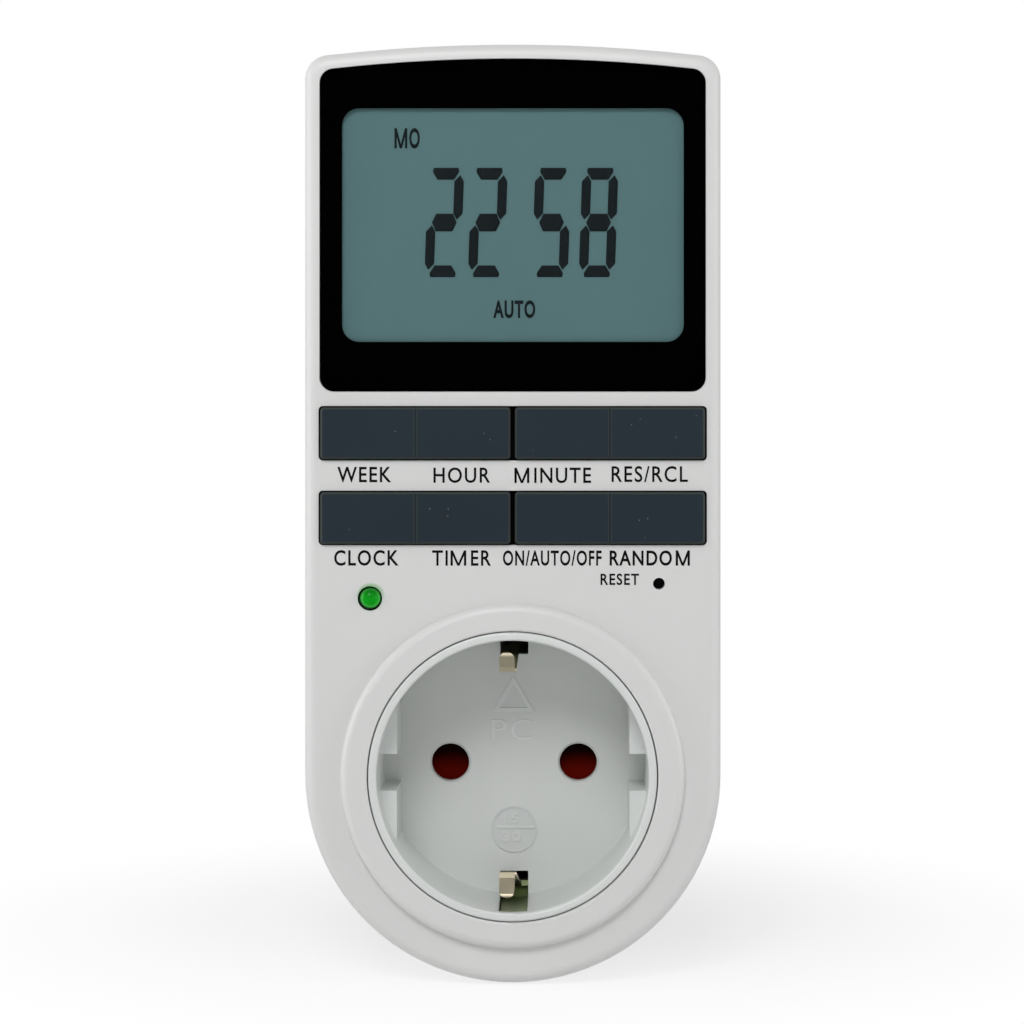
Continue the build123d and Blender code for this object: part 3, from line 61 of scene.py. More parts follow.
# %% Camera
face_y = -0.055
sensor_width = 36
picture_width = 0.1463
eye_distance = 0.40
eye = (0.006, 0.0504)
picture_middle = (-0.0001, 0.0377)

bpy.ops.object.camera_add(location=(eye[0], face_y - eye_distance, eye[1]), rotation=(math.pi / 2, 0, 0))
camera = bpy.context.object
camera.name = "camera"
camera.data.sensor_width = sensor_width
camera.data.lens = sensor_width * eye_distance / picture_width
camera.data.shift_x = (picture_middle[0] - eye[0]) / picture_width
camera.data.shift_y = (picture_middle[1] - eye[1]) / picture_width
bpy.context.scene.camera = camera
print("lens", round(camera.data.lens, 1), "mm")
print("shift", round(camera.data.shift_x, 3), round(camera.data.shift_y, 3))

# %% [markdown]
# ## Nodes
# Every finish in this lesson is a small network of nodes. An input of a node holds a plain value or takes a
# link from another node's output, so the helper that adds a node accepts either. Sums have helpers of their
# own, because a mask or a fade is nothing but a few sums in a row.

# %% Helpers for nodes


def feed(tree, socket, value):
    """Gives an input its value: a plain one, or the output of another node."""
    if isinstance(value, bpy.types.NodeSocket):
        tree.links.new(value, socket)
    else:
        socket.default_value = value


def add_node(tree, kind, *values, **settings):
    """A node with its settings. Values feed its inputs by their order or by the input's name."""
    node = tree.nodes.new(kind)
    for name, value in settings.items():
        if hasattr(node, name):
            setattr(node, name, value)
        else:
            feed(tree, node.inputs[name.replace("_", " ")], value)
    for socket, value in zip(node.inputs, values):
        feed(tree, socket, value)
    return node


def calc(tree, operation, *values):
    """A sum with numbers. Returns its result."""
    return add_node(tree, "ShaderNodeMath", *values, operation=operation).outputs[0]


def calc_vector(tree, operation, *values):
    """A sum with vectors. Its result is a number for a length or a dot product, otherwise a vector."""
    node = add_node(tree, "ShaderNodeVectorMath", *values, operation=operation)
    return node.outputs["Value" if operation in ("LENGTH", "DOT_PRODUCT") else "Vector"]


def span(tree, value, start, end, low, high):
    """Maps a value that runs from start to end onto low to high, softly."""
    return add_node(tree, "ShaderNodeMapRange", interpolation_type="SMOOTHSTEP", Value=value,
                    From_Min=start, From_Max=end, To_Min=low, To_Max=high).outputs["Result"]


def object_place(tree):
    """Where a point lies on its piece, in metres."""
    return add_node(tree, "ShaderNodeTexCoord").outputs["Object"]


# %% [markdown]
# ## Room and lamps
# A product is usually shot in front of white, with one large soft lamp above and weaker light from all
# round. The world gives the weak light. What the camera sees of it, directly or mirrored in something
# shiny, is plain white: the Light Path node tells those rays from the rays that light the object.

# %% World
bpy.context.scene.view_settings.view_transform = "Standard"
white = (1, 1, 1, 1)
room_light = 0.25


def white_to_eye(tree):
    """1 for rays from the camera and for mirrored or refracted ones, otherwise 0."""
    ray = add_node(tree, "ShaderNodeLightPath").outputs
    either = calc(tree, "MAXIMUM", ray["Is Camera Ray"], ray["Is Glossy Ray"])
    return calc(tree, "MAXIMUM", either, ray["Is Transmission Ray"])


world = bpy.data.worlds.new("studio")
bpy.context.scene.world = world
world.use_nodes = True
tree = world.node_tree
tree.nodes.clear()
room = add_node(tree, "ShaderNodeBackground", Color=white, Strength=room_light)
backdrop = add_node(tree, "ShaderNodeBackground", Color=white, Strength=1.0)
choice = add_node(tree, "ShaderNodeMixShader", white_to_eye(tree), room.outputs[0], backdrop.outputs[0])
add_node(tree, "ShaderNodeOutputWorld", choice.outputs[0])
print("world:", world.name)

# %% Lamps


def soft_lamp(name, place, aim, size, power):
    """A square area lamp at a place, turned so that it shines at a point."""
    bpy.ops.object.light_add(type="AREA", location=place)
    lamp = bpy.context.object
    lamp.name = name
    lamp.data.size = size
    lamp.data.energy = power
    away = lamp.location - Vector(aim)
    lamp.rotation_euler = away.to_track_quat("Z", "Y").to_euler()
    print(name, power, "W")


timer_middle = (0, -0.04, 0.04)
soft_lamp("lamp_above", (-0.10, -0.60, 0.52), timer_middle, 0.30, 2.6)
soft_lamp("lamp_left", (-0.62, -0.12, 0.12), timer_middle, 0.45, 1.8)
soft_lamp("lamp_right", (0.62, -0.22, 0.10), timer_middle, 0.45, 1.5)

# %% [markdown]
# ## Floor
# The timer stands on a pale table. Close to the timer the table is paper that takes its shadow. Further
# away it goes over into plain white for the camera, so that it has no edge against the backdrop.

# %% Floor
table_size = 4
table_gap = 0.0002
paper_until, white_from = 0.01, 0.11
least_white = 0.60

bpy.ops.object.select_all(action="DESELECT")
bpy.ops.mesh.primitive_plane_add(size=table_size, location=(0, 0, cad_box[0].z - table_gap))
floor = bpy.context.object
floor.name = "table_top"
bpy.ops.object.transform_apply(location=True)
table_white = bpy.data.materials.new("table_white")
table_white.use_nodes = True
tree = table_white.node_tree
tree.nodes.clear()
paper = add_node(tree, "ShaderNodeBsdfDiffuse", Color=(0.92, 0.92, 0.92, 1))
glow = add_node(tree, "ShaderNodeEmission", Color=white, Strength=1.0)
distance = calc_vector(tree, "LENGTH", object_place(tree))
whiteness = span(tree, distance, paper_until, white_from, least_white, 1.0)
share = calc(tree, "MULTIPLY", white_to_eye(tree), whiteness)
choice = add_node(tree, "ShaderNodeMixShader", share, paper.outputs[0], glow.outputs[0])
add_node(tree, "ShaderNodeOutputMaterial", choice.outputs[0])
floor.data.materials.append(table_white)
print("floor at", round(cad_box[0].z - table_gap, 4), "m")

# %% [markdown]
# ## Node groups
# What several finishes share is built once, as a node group with named inputs and outputs. A noise gives
# patches, a swing turns them into a factor near 1, and colour and gloss are multiplied by such factors. The
# bumps of a surface come from a relief, which is a noise too.

# %% Helpers for groups
surface_outputs = [("Colour", "c"), ("Roughness", "f"), ("Normal", "v")]


def new_group(name, inputs, outputs):
    """An empty group with named sockets. Returns it, what it is given and what it has to result in."""
    group = bpy.data.node_groups.new(name, "ShaderNodeTree")
    kinds = {"c": "NodeSocketColor", "f": "NodeSocketFloat", "v": "NodeSocketVector"}
    for socket, kind, value in inputs:
        made = group.interface.new_socket(socket, in_out="INPUT", socket_type=kinds[kind])
        made.default_value = value
    for socket, kind in outputs:
        group.interface.new_socket(socket, in_out="OUTPUT", socket_type=kinds[kind])
    print("group:", group.name)
    return group, add_node(group, "NodeGroupInput").outputs, add_node(group, "NodeGroupOutput").inputs


def noise(tree, where, per_metre, detail=2.0, roughness=0.5):
    """A noise texture with this many patches to the metre. Returns its grey value."""
    return add_node(tree, "ShaderNodeTexNoise", Vector=where, Scale=per_metre, Detail=detail,
                    Roughness=roughness).outputs["Fac"]


def swing(tree, value, amount):
    """Turns a grey value round 0.5 into a factor round 1 that swings by the amount."""
    return calc(tree, "MULTIPLY_ADD", calc(tree, "SUBTRACT", value, 0.5), amount, 1.0)


def mixed(tree, first, second, factor=1.0, blend="MIX"):
    """Mixes the second colour into the first, or multiplies them. Returns the new colour."""
    return add_node(tree, "ShaderNodeMix", data_type="RGBA", blend_type=blend, Factor=factor, A=first,
                    B=second).outputs["Result"]


def uneven(group, given, result, patches, gloss_patches, amount, relief, depth, height):
    """Feeds the outputs of a group: a patchy colour, a patchy gloss, and bumps from a relief."""
    tint = mixed(group, given["Colour"], swing(group, patches, amount), blend="MULTIPLY")
    gloss = calc(group, "MULTIPLY", given["Roughness"], swing(group, gloss_patches, amount))
    bump = add_node(group, "ShaderNodeBump", Strength=depth, Distance=height, Height=relief)
    feed(group, result["Colour"], tint)
    feed(group, result["Roughness"], gloss)
    feed(group, result["Normal"], bump.outputs["Normal"])


# %% [markdown]
# ## The finish that most parts share: moulded plastic
# Moulded plastic copies its steel tool. The tool is sparked, so the part gets a fine even grain. Flow and
# cooling leave the colour and the gloss a little cloudy. One node group makes all of that from the
# object's own coordinates, and every plastic in the timer uses it with its own values.

# %% Group: moulded plastic
clouds_per_metre = 70.0
grain_height = 0.00005

moulded, given, result = new_group(
    "moulded_plastic",
    [("Colour", "c", (0.7, 0.7, 0.7, 1)), ("Roughness", "f", 0.45), ("Grain Size", "f", 0.00035),
     ("Grain Depth", "f", 0.15), ("Cloudiness", "f", 0.06)],
    surface_outputs)
place = object_place(moulded)
grains_per_metre = calc(moulded, "DIVIDE", 1.0, given["Grain Size"])
grain = noise(moulded, place, grains_per_metre, detail=3.0, roughness=0.6)
cloud = noise(moulded, place, clouds_per_metre, detail=3.0)
uneven(moulded, given, result, cloud, cloud, given["Cloudiness"], grain, given["Grain Depth"], grain_height)

# %% [markdown]
# ## Dust
# Dark matte plastic shows every speck. A Voronoi texture scatters points, and the distance to the nearest
# one, cut off very near the point, makes small round specks. A slow noise keeps them from being even.

# %% Group: specks
dusty_patches_per_metre = 160.0

specks, given, result = new_group(
    "specks",
    [("Colour", "c", (0.03, 0.04, 0.05, 1)), ("Speck", "c", (0.3, 0.32, 0.33, 1)), ("Spacing", "f", 0.0012),
     ("Size", "f", 0.08), ("Amount", "f", 0.5)],
    [("Colour", "c")])
place = object_place(specks)
points_per_metre = calc(specks, "DIVIDE", 1.0, given["Spacing"])
cells = add_node(specks, "ShaderNodeTexVoronoi", feature="F1", Vector=place, Scale=points_per_metre)
near = calc(specks, "LESS_THAN", cells.outputs["Distance"], given["Size"])
dusty = calc(specks, "GREATER_THAN", noise(specks, place, dusty_patches_per_metre), 0.5)
mask = calc(specks, "MULTIPLY", calc(specks, "MULTIPLY", near, dusty), given["Amount"])
feed(specks, result["Colour"], mixed(specks, given["Colour"], given["Speck"], mask))

# %% [markdown]
# ## Slanted edges
# A key's bevelled edge is rubbed by fingers and catches light, so it is painted lighter than the flat top: a
# painted highlight, and partly wear. The angle between a face and the front tells the two apart: the mask is
# 1 on faces that slant.

# %% Group: slanted edges
slants, given, result = new_group("slanted_edges", [("From", "f", 0.2), ("To", "f", 0.9)], [("Mask", "f")])
shape = add_node(slants, "ShaderNodeNewGeometry")
facing = calc_vector(slants, "DOT_PRODUCT", shape.outputs["True Normal"], (0, -1, 0))
above = calc(slants, "GREATER_THAN", facing, given["From"])
below = calc(slants, "LESS_THAN", facing, given["To"])
feed(slants, result["Mask"], calc(slants, "MULTIPLY", above, below))

# %% [markdown]
# ## Worked metal
# Pins are turned and polished, strips are rolled and plated. Both keep fine lines in one direction, and
# the plating is a little cloudy. The group stretches a noise along one axis to draw the lines.

# %% Group: worked metal
dull_patches_per_metre = 260.0
line_height = 0.00003

metal_lines, given, result = new_group(
    "worked_metal",
    [("Colour", "c", (0.7, 0.7, 0.68, 1)), ("Roughness", "f", 0.3), ("Line Scale", "v", (3000, 300, 3000)),
     ("Depth", "f", 0.1), ("Tarnish", "f", 0.15)],
    surface_outputs)
place = object_place(metal_lines)
lines = noise(metal_lines, calc_vector(metal_lines, "MULTIPLY", place, given["Line Scale"]), 1.0)
dull = noise(metal_lines, place, dull_patches_per_metre, detail=3.0)
uneven(metal_lines, given, result, dull, lines, given["Tarnish"], lines, given["Depth"], line_height)

# %% [markdown]
# ## Painted shade in an opening
# Little light gets into a deep opening. So the colour of a part that stands in one is painted darker further
# in, as painted shade, and keeps its full colour at the mouth. The group takes a position and fades the
# colour between two places along it.

# %% Group: painted shade
painted_shade, given, result = new_group(
    "painted_shade",
    [("Colour", "c", (0.7, 0.7, 0.7, 1)), ("Position", "f", 0.0), ("Clean At", "f", 0.0),
     ("Dark At", "f", 0.01), ("Left Over", "f", 0.1)],
    [("Colour", "c")])
left = span(painted_shade, given["Position"], given["Clean At"], given["Dark At"], 1.0, given["Left Over"])
feed(painted_shade, result["Colour"], mixed(painted_shade, given["Colour"], left, blend="MULTIPLY"))

# %% [markdown]
# ## A material round a group
# The shader itself stays in the material, where its constant values, such as the coat or the index of
# refraction, are set on its own sockets. The group feeds the values that change over the surface.

# %% Material helpers


def bare_material(name, **shader):
    """A material whose shader has these constant values. Returns the material and its shader."""
    made = bpy.data.materials.new(name)
    made.use_nodes = True
    surface = made.node_tree.nodes["Principled BSDF"]
    for socket, value in shader.items():
        surface.inputs[socket.replace("_", " ")].default_value = value
    return made, surface


def grouped_finish(name, group, shader, **values):
    """A finish is a material, its shader, and the group that feeds it with these values."""
    made, surface = bare_material(name, **shader)
    node = add_node(made.node_tree, "ShaderNodeGroup", node_tree=group, **values)
    for source, socket in (("Colour", "Base Color"), ("Roughness", "Roughness"), ("Normal", "Normal")):
        feed(made.node_tree, surface.inputs[socket], node.outputs[source])
    return SimpleNamespace(material=made, surface=surface, group=node)


def plastic(name, colour, roughness, grain=0.00035, depth=0.15, cloud=0.06, **shader):
    """Moulded plastic. Words such as Specular_IOR_Level=0.1 set inputs of the shader."""
    return grouped_finish(name, moulded, shader, Colour=(*colour, 1), Roughness=roughness,
                          Grain_Size=grain, Grain_Depth=depth, Cloudiness=cloud)


def metal(name, colour, roughness, lines, depth=0.1, tarnish=0.2):
    """Bare or plated metal with fine working lines."""
    return grouped_finish(name, metal_lines, {"Metallic": 1.0}, Colour=(*colour, 1), Roughness=roughness,
                          Line_Scale=lines, Depth=depth, Tarnish=tarnish)


def paint_shade_into(finish, axis, lit_at, dark_at, left_over):
    """Puts the painted shade group between a finish's own group and its shader, along one axis."""
    tree = finish.material.node_tree
    along = add_node(tree, "ShaderNodeSeparateXYZ", object_place(tree)).outputs[axis]
    step = add_node(tree, "ShaderNodeGroup", node_tree=painted_shade, Colour=finish.group.outputs["Colour"],
                    Position=along, Clean_At=lit_at, Dark_At=dark_at, Left_Over=left_over)
    feed(tree, finish.surface.inputs["Base Color"], step.outputs["Colour"])


def dress(material, *names):
    """Gives these parts of the timer a material."""
    for name in names:
        for slot in parts[name].material_slots:
            slot.material = material
    print(len(names), "parts in", material.name)


# %% [markdown]
# ## White case
# The case is white ABS from a sparked tool: nearly matt, with a fine grain that only shows in the
# highlights. The cup of the outlet is another, harder plastic, a little greyer and glossier.

# %% White case and outlet cup
case_white = plastic("case_white", (0.665, 0.668, 0.66), 0.42, grain=0.00030, depth=0.22, cloud=0.035)
dress(case_white.material, "front_case", "rear_case")
cup_white = plastic("cup_white", (0.67, 0.692, 0.677), 0.34, grain=0.0005, depth=0.10, cloud=0.08)
dress(cup_white.material, "socket_cup")

# %% [markdown]
# ## Keys
# The keys are dark slate plastic, matt on top, with some dust. The bevelled edge and the two edges of the
# shallow groove in the middle are a little paler: a painted highlight where the edges catch the light, and
# partly wear from fingers. The keys of both sides lie mirrored, so a groove is found by its distance from
# the middle of the timer, and its edges by theirs from the groove.

# %% Keys
groove_x = 0.013885
groove_edge = 0.00021
half_edge_width = 0.00007

key_slate = plastic("key_slate", (0.0165, 0.026, 0.0345), 0.55, grain=0.00025, depth=0.35, cloud=0.25,
                    Specular_IOR_Level=0.1)
tree = key_slate.material.node_tree
dust = add_node(tree, "ShaderNodeGroup", node_tree=specks, Colour=key_slate.group.outputs["Colour"],
                Speck=(0.15, 0.165, 0.175, 1), Spacing=0.0019, Size=0.06, Amount=0.5)
across = add_node(tree, "ShaderNodeSeparateXYZ", object_place(tree)).outputs["X"]
from_groove = calc(tree, "SUBTRACT", calc(tree, "ABSOLUTE", across), groove_x)
groove_lines = calc(tree, "COMPARE", calc(tree, "ABSOLUTE", from_groove), groove_edge, half_edge_width)
# painted highlight, partly wear: slanted bevels and the groove's edges get a paler slate
slant_highlight_and_wear = add_node(tree, "ShaderNodeGroup", node_tree=slants).outputs["Mask"]
highlight_and_wear = calc(tree, "MAXIMUM", slant_highlight_and_wear, groove_lines)
key_colour = mixed(tree, dust.outputs["Colour"], (0.038, 0.047, 0.045, 1), highlight_and_wear)
feed(tree, key_slate.surface.inputs["Base Color"], key_colour)
dress(key_slate.material, "week_hour_key", "minute_recall_key", "clock_timer_key", "mode_random_key")

# %% [markdown]
# ## Display
# The window is a clear sheet, printed black behind its border. Its surface is treated against glare and
# mirrors almost nothing, which a low index of refraction gives. Light has to pass it to reach the display,
# so for the rays that carry light to the display the sheet is simply transparent.

# %% Clear window
clear_window, acrylic = bare_material("clear_window", Roughness=0.0, IOR=1.03, Transmission_Weight=1.0)
tree = clear_window.node_tree
tone = add_node(tree, "ShaderNodeGroup", node_tree=moulded, Colour=(0.99, 0.99, 0.99, 1), Cloudiness=0.03)
feed(tree, acrylic.inputs["Base Color"], tone.outputs["Colour"])
clear = add_node(tree, "ShaderNodeBsdfTransparent")
ray = add_node(tree, "ShaderNodeLightPath").outputs
lighting = calc(tree, "MAXIMUM", ray["Is Shadow Ray"], ray["Is Diffuse Ray"])
choice = add_node(tree, "ShaderNodeMixShader", lighting, acrylic.outputs[0], clear.outputs[0])
feed(tree, tree.nodes["Material Output"].inputs[0], choice.outputs[0])
dress(clear_window, "display_lens")

# %% Black border and display glass
mask_black = plastic("mask_black", (0.0005, 0.0005, 0.0005), 0.6, depth=0.02, cloud=0.3,
                     Specular_IOR_Level=0.0)
dress(mask_black.material, "lens_mask")
lcd_face = plastic("lcd_face", (0.093, 0.175, 0.181), 0.5, grain=0.00012, depth=0.03, cloud=0.03,
                   Specular_IOR_Level=0.05)
dress(lcd_face.material, "lcd_panel")
lcd_ink = plastic("lcd_ink", (0.009, 0.0125, 0.0142), 0.6, depth=0.02, cloud=0.2, Specular_IOR_Level=0.03)

# %% [markdown]
# ## Parts inside
# Nobody sees most of these until the case is opened, but each still has its own finish: glass fibre
# board, tinned steel, copper, wound wire, rubber. One table of plastics and one of metals covers them.

# %% Inner plastics and rubbers
# finish: colour, roughness, and the parts that wear it
inner_finishes = {
    "inner_plastic": ((0.72, 0.73, 0.71), 0.45, "contact_housing", "pin_retainer", "lcd_frame"),
    "elastomer": ((0.50, 0.25, 0.25), 0.6, "zebra_connectors"),
    "silicone": ((0.70, 0.70, 0.66), 0.55, "keypad_mat"),
    "carbon": ((0.02, 0.02, 0.02), 0.7, "carbon_pills"),
    "switch_black": ((0.015, 0.015, 0.016), 0.4, "reset_switch", "reset_plunger", "board_header",
                     "key_frame"),
    "board_green": ((0.02, 0.16, 0.06), 0.35, "control_board"),
    "board_brown": ((0.40, 0.27, 0.11), 0.5, "power_board"),
    "epoxy_black": ((0.012, 0.012, 0.012), 0.25, "controller"),
    "chip_ceramic": ((0.45, 0.35, 0.24), 0.4, "chip_parts"),
    "relay_blue": ((0.04, 0.14, 0.40), 0.35, "relay_base", "relay_cover"),
    "capacitor_yellow": ((0.75, 0.52, 0.08), 0.35, "dropper_capacitor"),
    "capacitor_black": ((0.015, 0.016, 0.025), 0.3, "smoothing_capacitor", "rectifier_diodes"),
    "varistor_blue": ((0.04, 0.13, 0.45), 0.3, "varistor"),
    "resistor_tan": ((0.65, 0.48, 0.28), 0.45, "resistors"),
    "wire_brown": ((0.20, 0.07, 0.03), 0.4, "pin_wire", "contact_wire"),
    "wire_blue": ((0.04, 0.12, 0.45), 0.4, "neutral_wire"),
}
finishes = {}
for name, (colour, rough, *worn_by) in inner_finishes.items():
    finishes[name] = plastic(name, colour, rough, depth=0.25, cloud=0.15, Specular_IOR_Level=0.2)
    dress(finishes[name].material, *worn_by)

# the reset plunger sits in a deep narrow hole and mirrors next to nothing
finishes["switch_black"].surface.inputs["Specular IOR Level"].default_value = 0.03

# %% [markdown]
# ## Shutter
# Behind the pin holes stands the shutter, a dark red plate. Its upper half lies in the shade of the holes'
# edges, so its red fades to black towards the top.

# %% Shutter
shutter_red = plastic("shutter_red", (0.12, 0.004, 0.001), 0.5, depth=0.1, cloud=0.2,
                      Specular_IOR_Level=0.01)
paint_shade_into(shutter_red, "Z", lit_at=-0.002, dark_at=0.0018, left_over=0.05)
dress(shutter_red.material, "shutter")

# %% [markdown]
# ## Metals
# The three numbers behind a metal's roughness scale its working lines along x, y and z. The lines run along
# an axis whose number is small. The earth clips and the strap behind them stand in deep slots, so their
# colour is painted darker deeper in: painted shade.

# %% Metals
# finish: colour, roughness, scale of the lines along x, y and z, and the parts that wear it
metal_finishes = {
    "pin_nickel": ((0.62, 0.60, 0.56), 0.22, (2500, 200, 2500), "line_pin", "neutral_pin"),
    "earth_metal": ((0.54, 0.48, 0.36), 0.48, (2500, 250, 250),
                    "upper_plug_earth", "lower_plug_earth"),
    "clip_metal": ((0.54, 0.48, 0.36), 0.48, (2500, 250, 250), "upper_earth_clip", "lower_earth_clip"),
    "strap_brass": ((0.80, 0.88, 0.60), 0.55, (2500, 250, 250), "earth_bridge"),
    "screw_steel": ((0.45, 0.45, 0.46), 0.35, (1500, 1500, 1500),
                    "case_screws", "board_screws", "inner_screws", "shutter_spring", "relay_yoke",
                    "relay_armature"),
    "tin_metal": ((0.62, 0.62, 0.63), 0.35, (900, 900, 900), "backup_cell", "cell_tabs", "crystal"),
    "brass_strip": ((0.70, 0.52, 0.22), 0.30, (2000, 300, 300),
                    "line_contact", "neutral_contact", "neutral_bar", "line_tab", "moving_contact",
                    "fixed_contact"),
    "copper_wire": ((0.62, 0.27, 0.12), 0.35, (300, 9000, 300), "relay_coil"),
    "reflector": ((0.60, 0.62, 0.60), 0.45, (400, 400, 400), "lcd_reflector"),
}
for name, (colour, rough, lines, *worn_by) in metal_finishes.items():
    finishes[name] = metal(name, colour, rough, lines)
    dress(finishes[name].material, *worn_by)
# painted shade: the clips and the strap are darker deeper in their slots
paint_shade_into(finishes["clip_metal"], "Y", lit_at=-0.0485, dark_at=-0.0435, left_over=0.12)
paint_shade_into(finishes["strap_brass"], "Y", lit_at=-0.0322, dark_at=-0.0312, left_over=0.15)

# %% [markdown]
# ## Lamp
# The lamp is tinted clear resin round a small metal cup. Its colour is painted in rings round its middle: a
# paler ring in deep green is a painted reflection of the cup seen through the resin, and the nearly black
# rim
# of the dome is painted shade. The top of the dome is painted darker than its foot, where the light gathers:
# painted shade as well. A pale green gleam over the lamp, as the resin would throw it, is painted on the
# case.
# Both depend on where a point lies from the middle of the dome, so one group measures that for the two
# materials.

# %% Group: round the lamp
round_lamp, given, result = new_group(
    "round_lamp", [("Middle", "v", (-0.0203, 0.0, 0.02547))], [("Reach", "f"), ("Height", "f")])
offset = calc_vector(round_lamp, "SUBTRACT", object_place(round_lamp), given["Middle"])
sideways = calc_vector(round_lamp, "MULTIPLY", offset, (1, 0, 1))
feed(round_lamp, result["Reach"], calc_vector(round_lamp, "LENGTH", sideways))
feed(round_lamp, result["Height"], add_node(round_lamp, "ShaderNodeSeparateXYZ", offset).outputs["Z"])

# %% Lamp resin
lamp_radius = 0.0017
# distance from the middle, as a part of the radius: colour; the paler ring is a painted reflection of the
# cup, the dark rim painted shade
painted_ring_colours = {0.0: (0, 0.29, 0.006), 0.60: (0, 0.33, 0.008), 0.75: (0.06, 0.50, 0.07),
                0.85: (0, 0.14, 0.01), 0.93: (0, 0.02, 0)}
lit_below, shaded_above = -0.0002, 0.0014
top_light = 0.45

led_green, resin = bare_material("led_green", Roughness=0.12, IOR=1.5, Specular_IOR_Level=0.08)
tree = led_green.node_tree
dome = add_node(tree, "ShaderNodeGroup", node_tree=round_lamp).outputs
rings = add_node(tree, "ShaderNodeValToRGB", calc(tree, "DIVIDE", dome["Reach"], lamp_radius))
stops = rings.color_ramp.elements
while len(stops) < len(painted_ring_colours):
    stops.new(0.5)
for stop, (position, colour) in zip(stops, painted_ring_colours.items()):
    stop.position = position
    stop.color = (*colour, 1)
# painted shade: the top of the dome is darker than its foot
top_shade = span(tree, dome["Height"], lit_below, shaded_above, 1.0, top_light)
feed(tree, resin.inputs["Base Color"], mixed(tree, rings.outputs["Color"], top_shade, blend="MULTIPLY"))
dress(led_green, "status_led")

# %% Painted gleam on the case
painted_gleam_colour = (0.22, 0.46, 0.20, 1)
gleam_inside, gleam_ends = 0.00175, 0.00225
low_edge, high_edge = -0.0004, 0.0013
low_gleam, high_gleam = 0.15, 0.8

# painted glow: a pale green ring is painted on the case round the top of the lamp, as light from the resin
tree = case_white.material.node_tree
hole = add_node(tree, "ShaderNodeGroup", node_tree=round_lamp).outputs
close = span(tree, hole["Reach"], gleam_ends, gleam_inside, 0.0, 1.0)
upper = span(tree, hole["Height"], low_edge, high_edge, low_gleam, high_gleam)
gleam = calc(tree, "MULTIPLY", close, upper)
gleamed = mixed(tree, case_white.group.outputs["Colour"], painted_gleam_colour, gleam)
feed(tree, case_white.surface.inputs["Base Color"], gleamed)
print("gleam ends", round(gleam_ends * 1000, 2), "mm from the middle of the lamp")

# %% [markdown]
# ## Modelling by hand, in code
# The next pieces are modelled with the same operators that the menus run. An operator acts on whatever is
# selected, so each step first selects one piece alone, and in edit mode picks its vertices by their place.

# %% Helpers for modelling
mm = 0.001
front_turn = (math.pi / 2, 0, 0)
merge_within = 0.001 * mm


def only(piece):
    """Selects one piece alone and makes it the active one."""
    bpy.ops.object.select_all(action="DESELECT")
    piece.select_set(True)
    bpy.context.view_layer.objects.active = piece


def added(name):
    """Names the piece that an operator has just added."""
    piece = bpy.context.object
    piece.name = name
    only(piece)
    return piece


def move_vertices(piece, test, by):
    """Moves the vertices whose place passes the test."""
    only(piece)
    bpy.ops.object.mode_set(mode="EDIT")
    mesh = bmesh.from_edit_mesh(piece.data)
    for vertex in mesh.verts:
        vertex.select = test(vertex.co)
    mesh.select_flush_mode()
    bmesh.update_edit_mesh(piece.data)
    bpy.ops.transform.translate(value=by)
    bpy.ops.object.mode_set(mode="OBJECT")


def thicken(piece, thickness, offset=0):
    """Makes a flat piece solid, to both sides, or to one side where offset is 1."""
    solid = piece.modifiers.new("thickness", "SOLIDIFY")
    solid.thickness = thickness
    solid.offset = offset
    bpy.ops.object.modifier_apply(modifier=solid.name)


def clean(piece):
    """Merges doubled vertices and turns all faces outwards."""
    only(piece)
    bpy.ops.object.mode_set(mode="EDIT")
    bpy.ops.mesh.select_all(action="SELECT")
    bpy.ops.mesh.remove_doubles(threshold=merge_within)
    bpy.ops.mesh.normals_make_consistent(inside=False)
    bpy.ops.object.mode_set(mode="OBJECT")


def place_on_front(piece, place, finish):
    """Stands a flat piece up at a place, facing the front, puts that into its mesh and dresses it."""
    only(piece)
    piece.rotation_euler = front_turn
    piece.location = place
    bpy.ops.object.transform_apply(location=True, rotation=True, scale=True)
    piece.data.materials.clear()
    piece.data.materials.append(finish.material)
    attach(piece, "case")
    box = [round(size / mm, 2) for size in piece.dimensions]
    print(piece.name, "is", box, "mm")


# %% [markdown]
# ## Digits of the display
# A seven-segment digit has three kinds of bar: one for its top and bottom, one for its middle and one for
# its sides. Each starts as a six-sided disc, whose corners are moved until the bar has its width and its
# slanted ends. The bars are then copied to where the digit needs them. Liquid crystal has no thickness to
# speak of, but a closed solid prints and exports better, so Solidify gives the bars a twentieth of a
# millimetre.

# %% Helpers for bars


def six_sided(name, upright):
    """A flat hexagon of 1 mm radius with its points up and down, or to the sides."""
    turn = 0 if upright else math.pi / 2
    bpy.ops.mesh.primitive_circle_add(vertices=6, radius=mm, fill_type="NGON", rotation=(0, 0, turn))
    piece = added(name)
    bpy.ops.object.transform_apply(rotation=True)
    return piece


def at(axis, value):
    """A test for vertices that lie at this value of x or y, in mm."""
    return lambda place: abs(place[axis] - value * mm) < 0.02 * mm


# a hexagon's corners lie at these distances from its middle, in mm
tip, flat, point = 0.5, math.sqrt(3) / 2, 1.0
print("hexagon corners at", tip, round(flat, 3), point, "mm")

# %% Side and middle bars
# distances from the middle of the bar, in mm: the side bar's points also shift sideways
side_edge, side_shoulder, side_point, side_slant = 0.675, 2.3, 3.2, 0.15
middle_edge, middle_shoulder, middle_point = 1.27, 1.2, 1.78

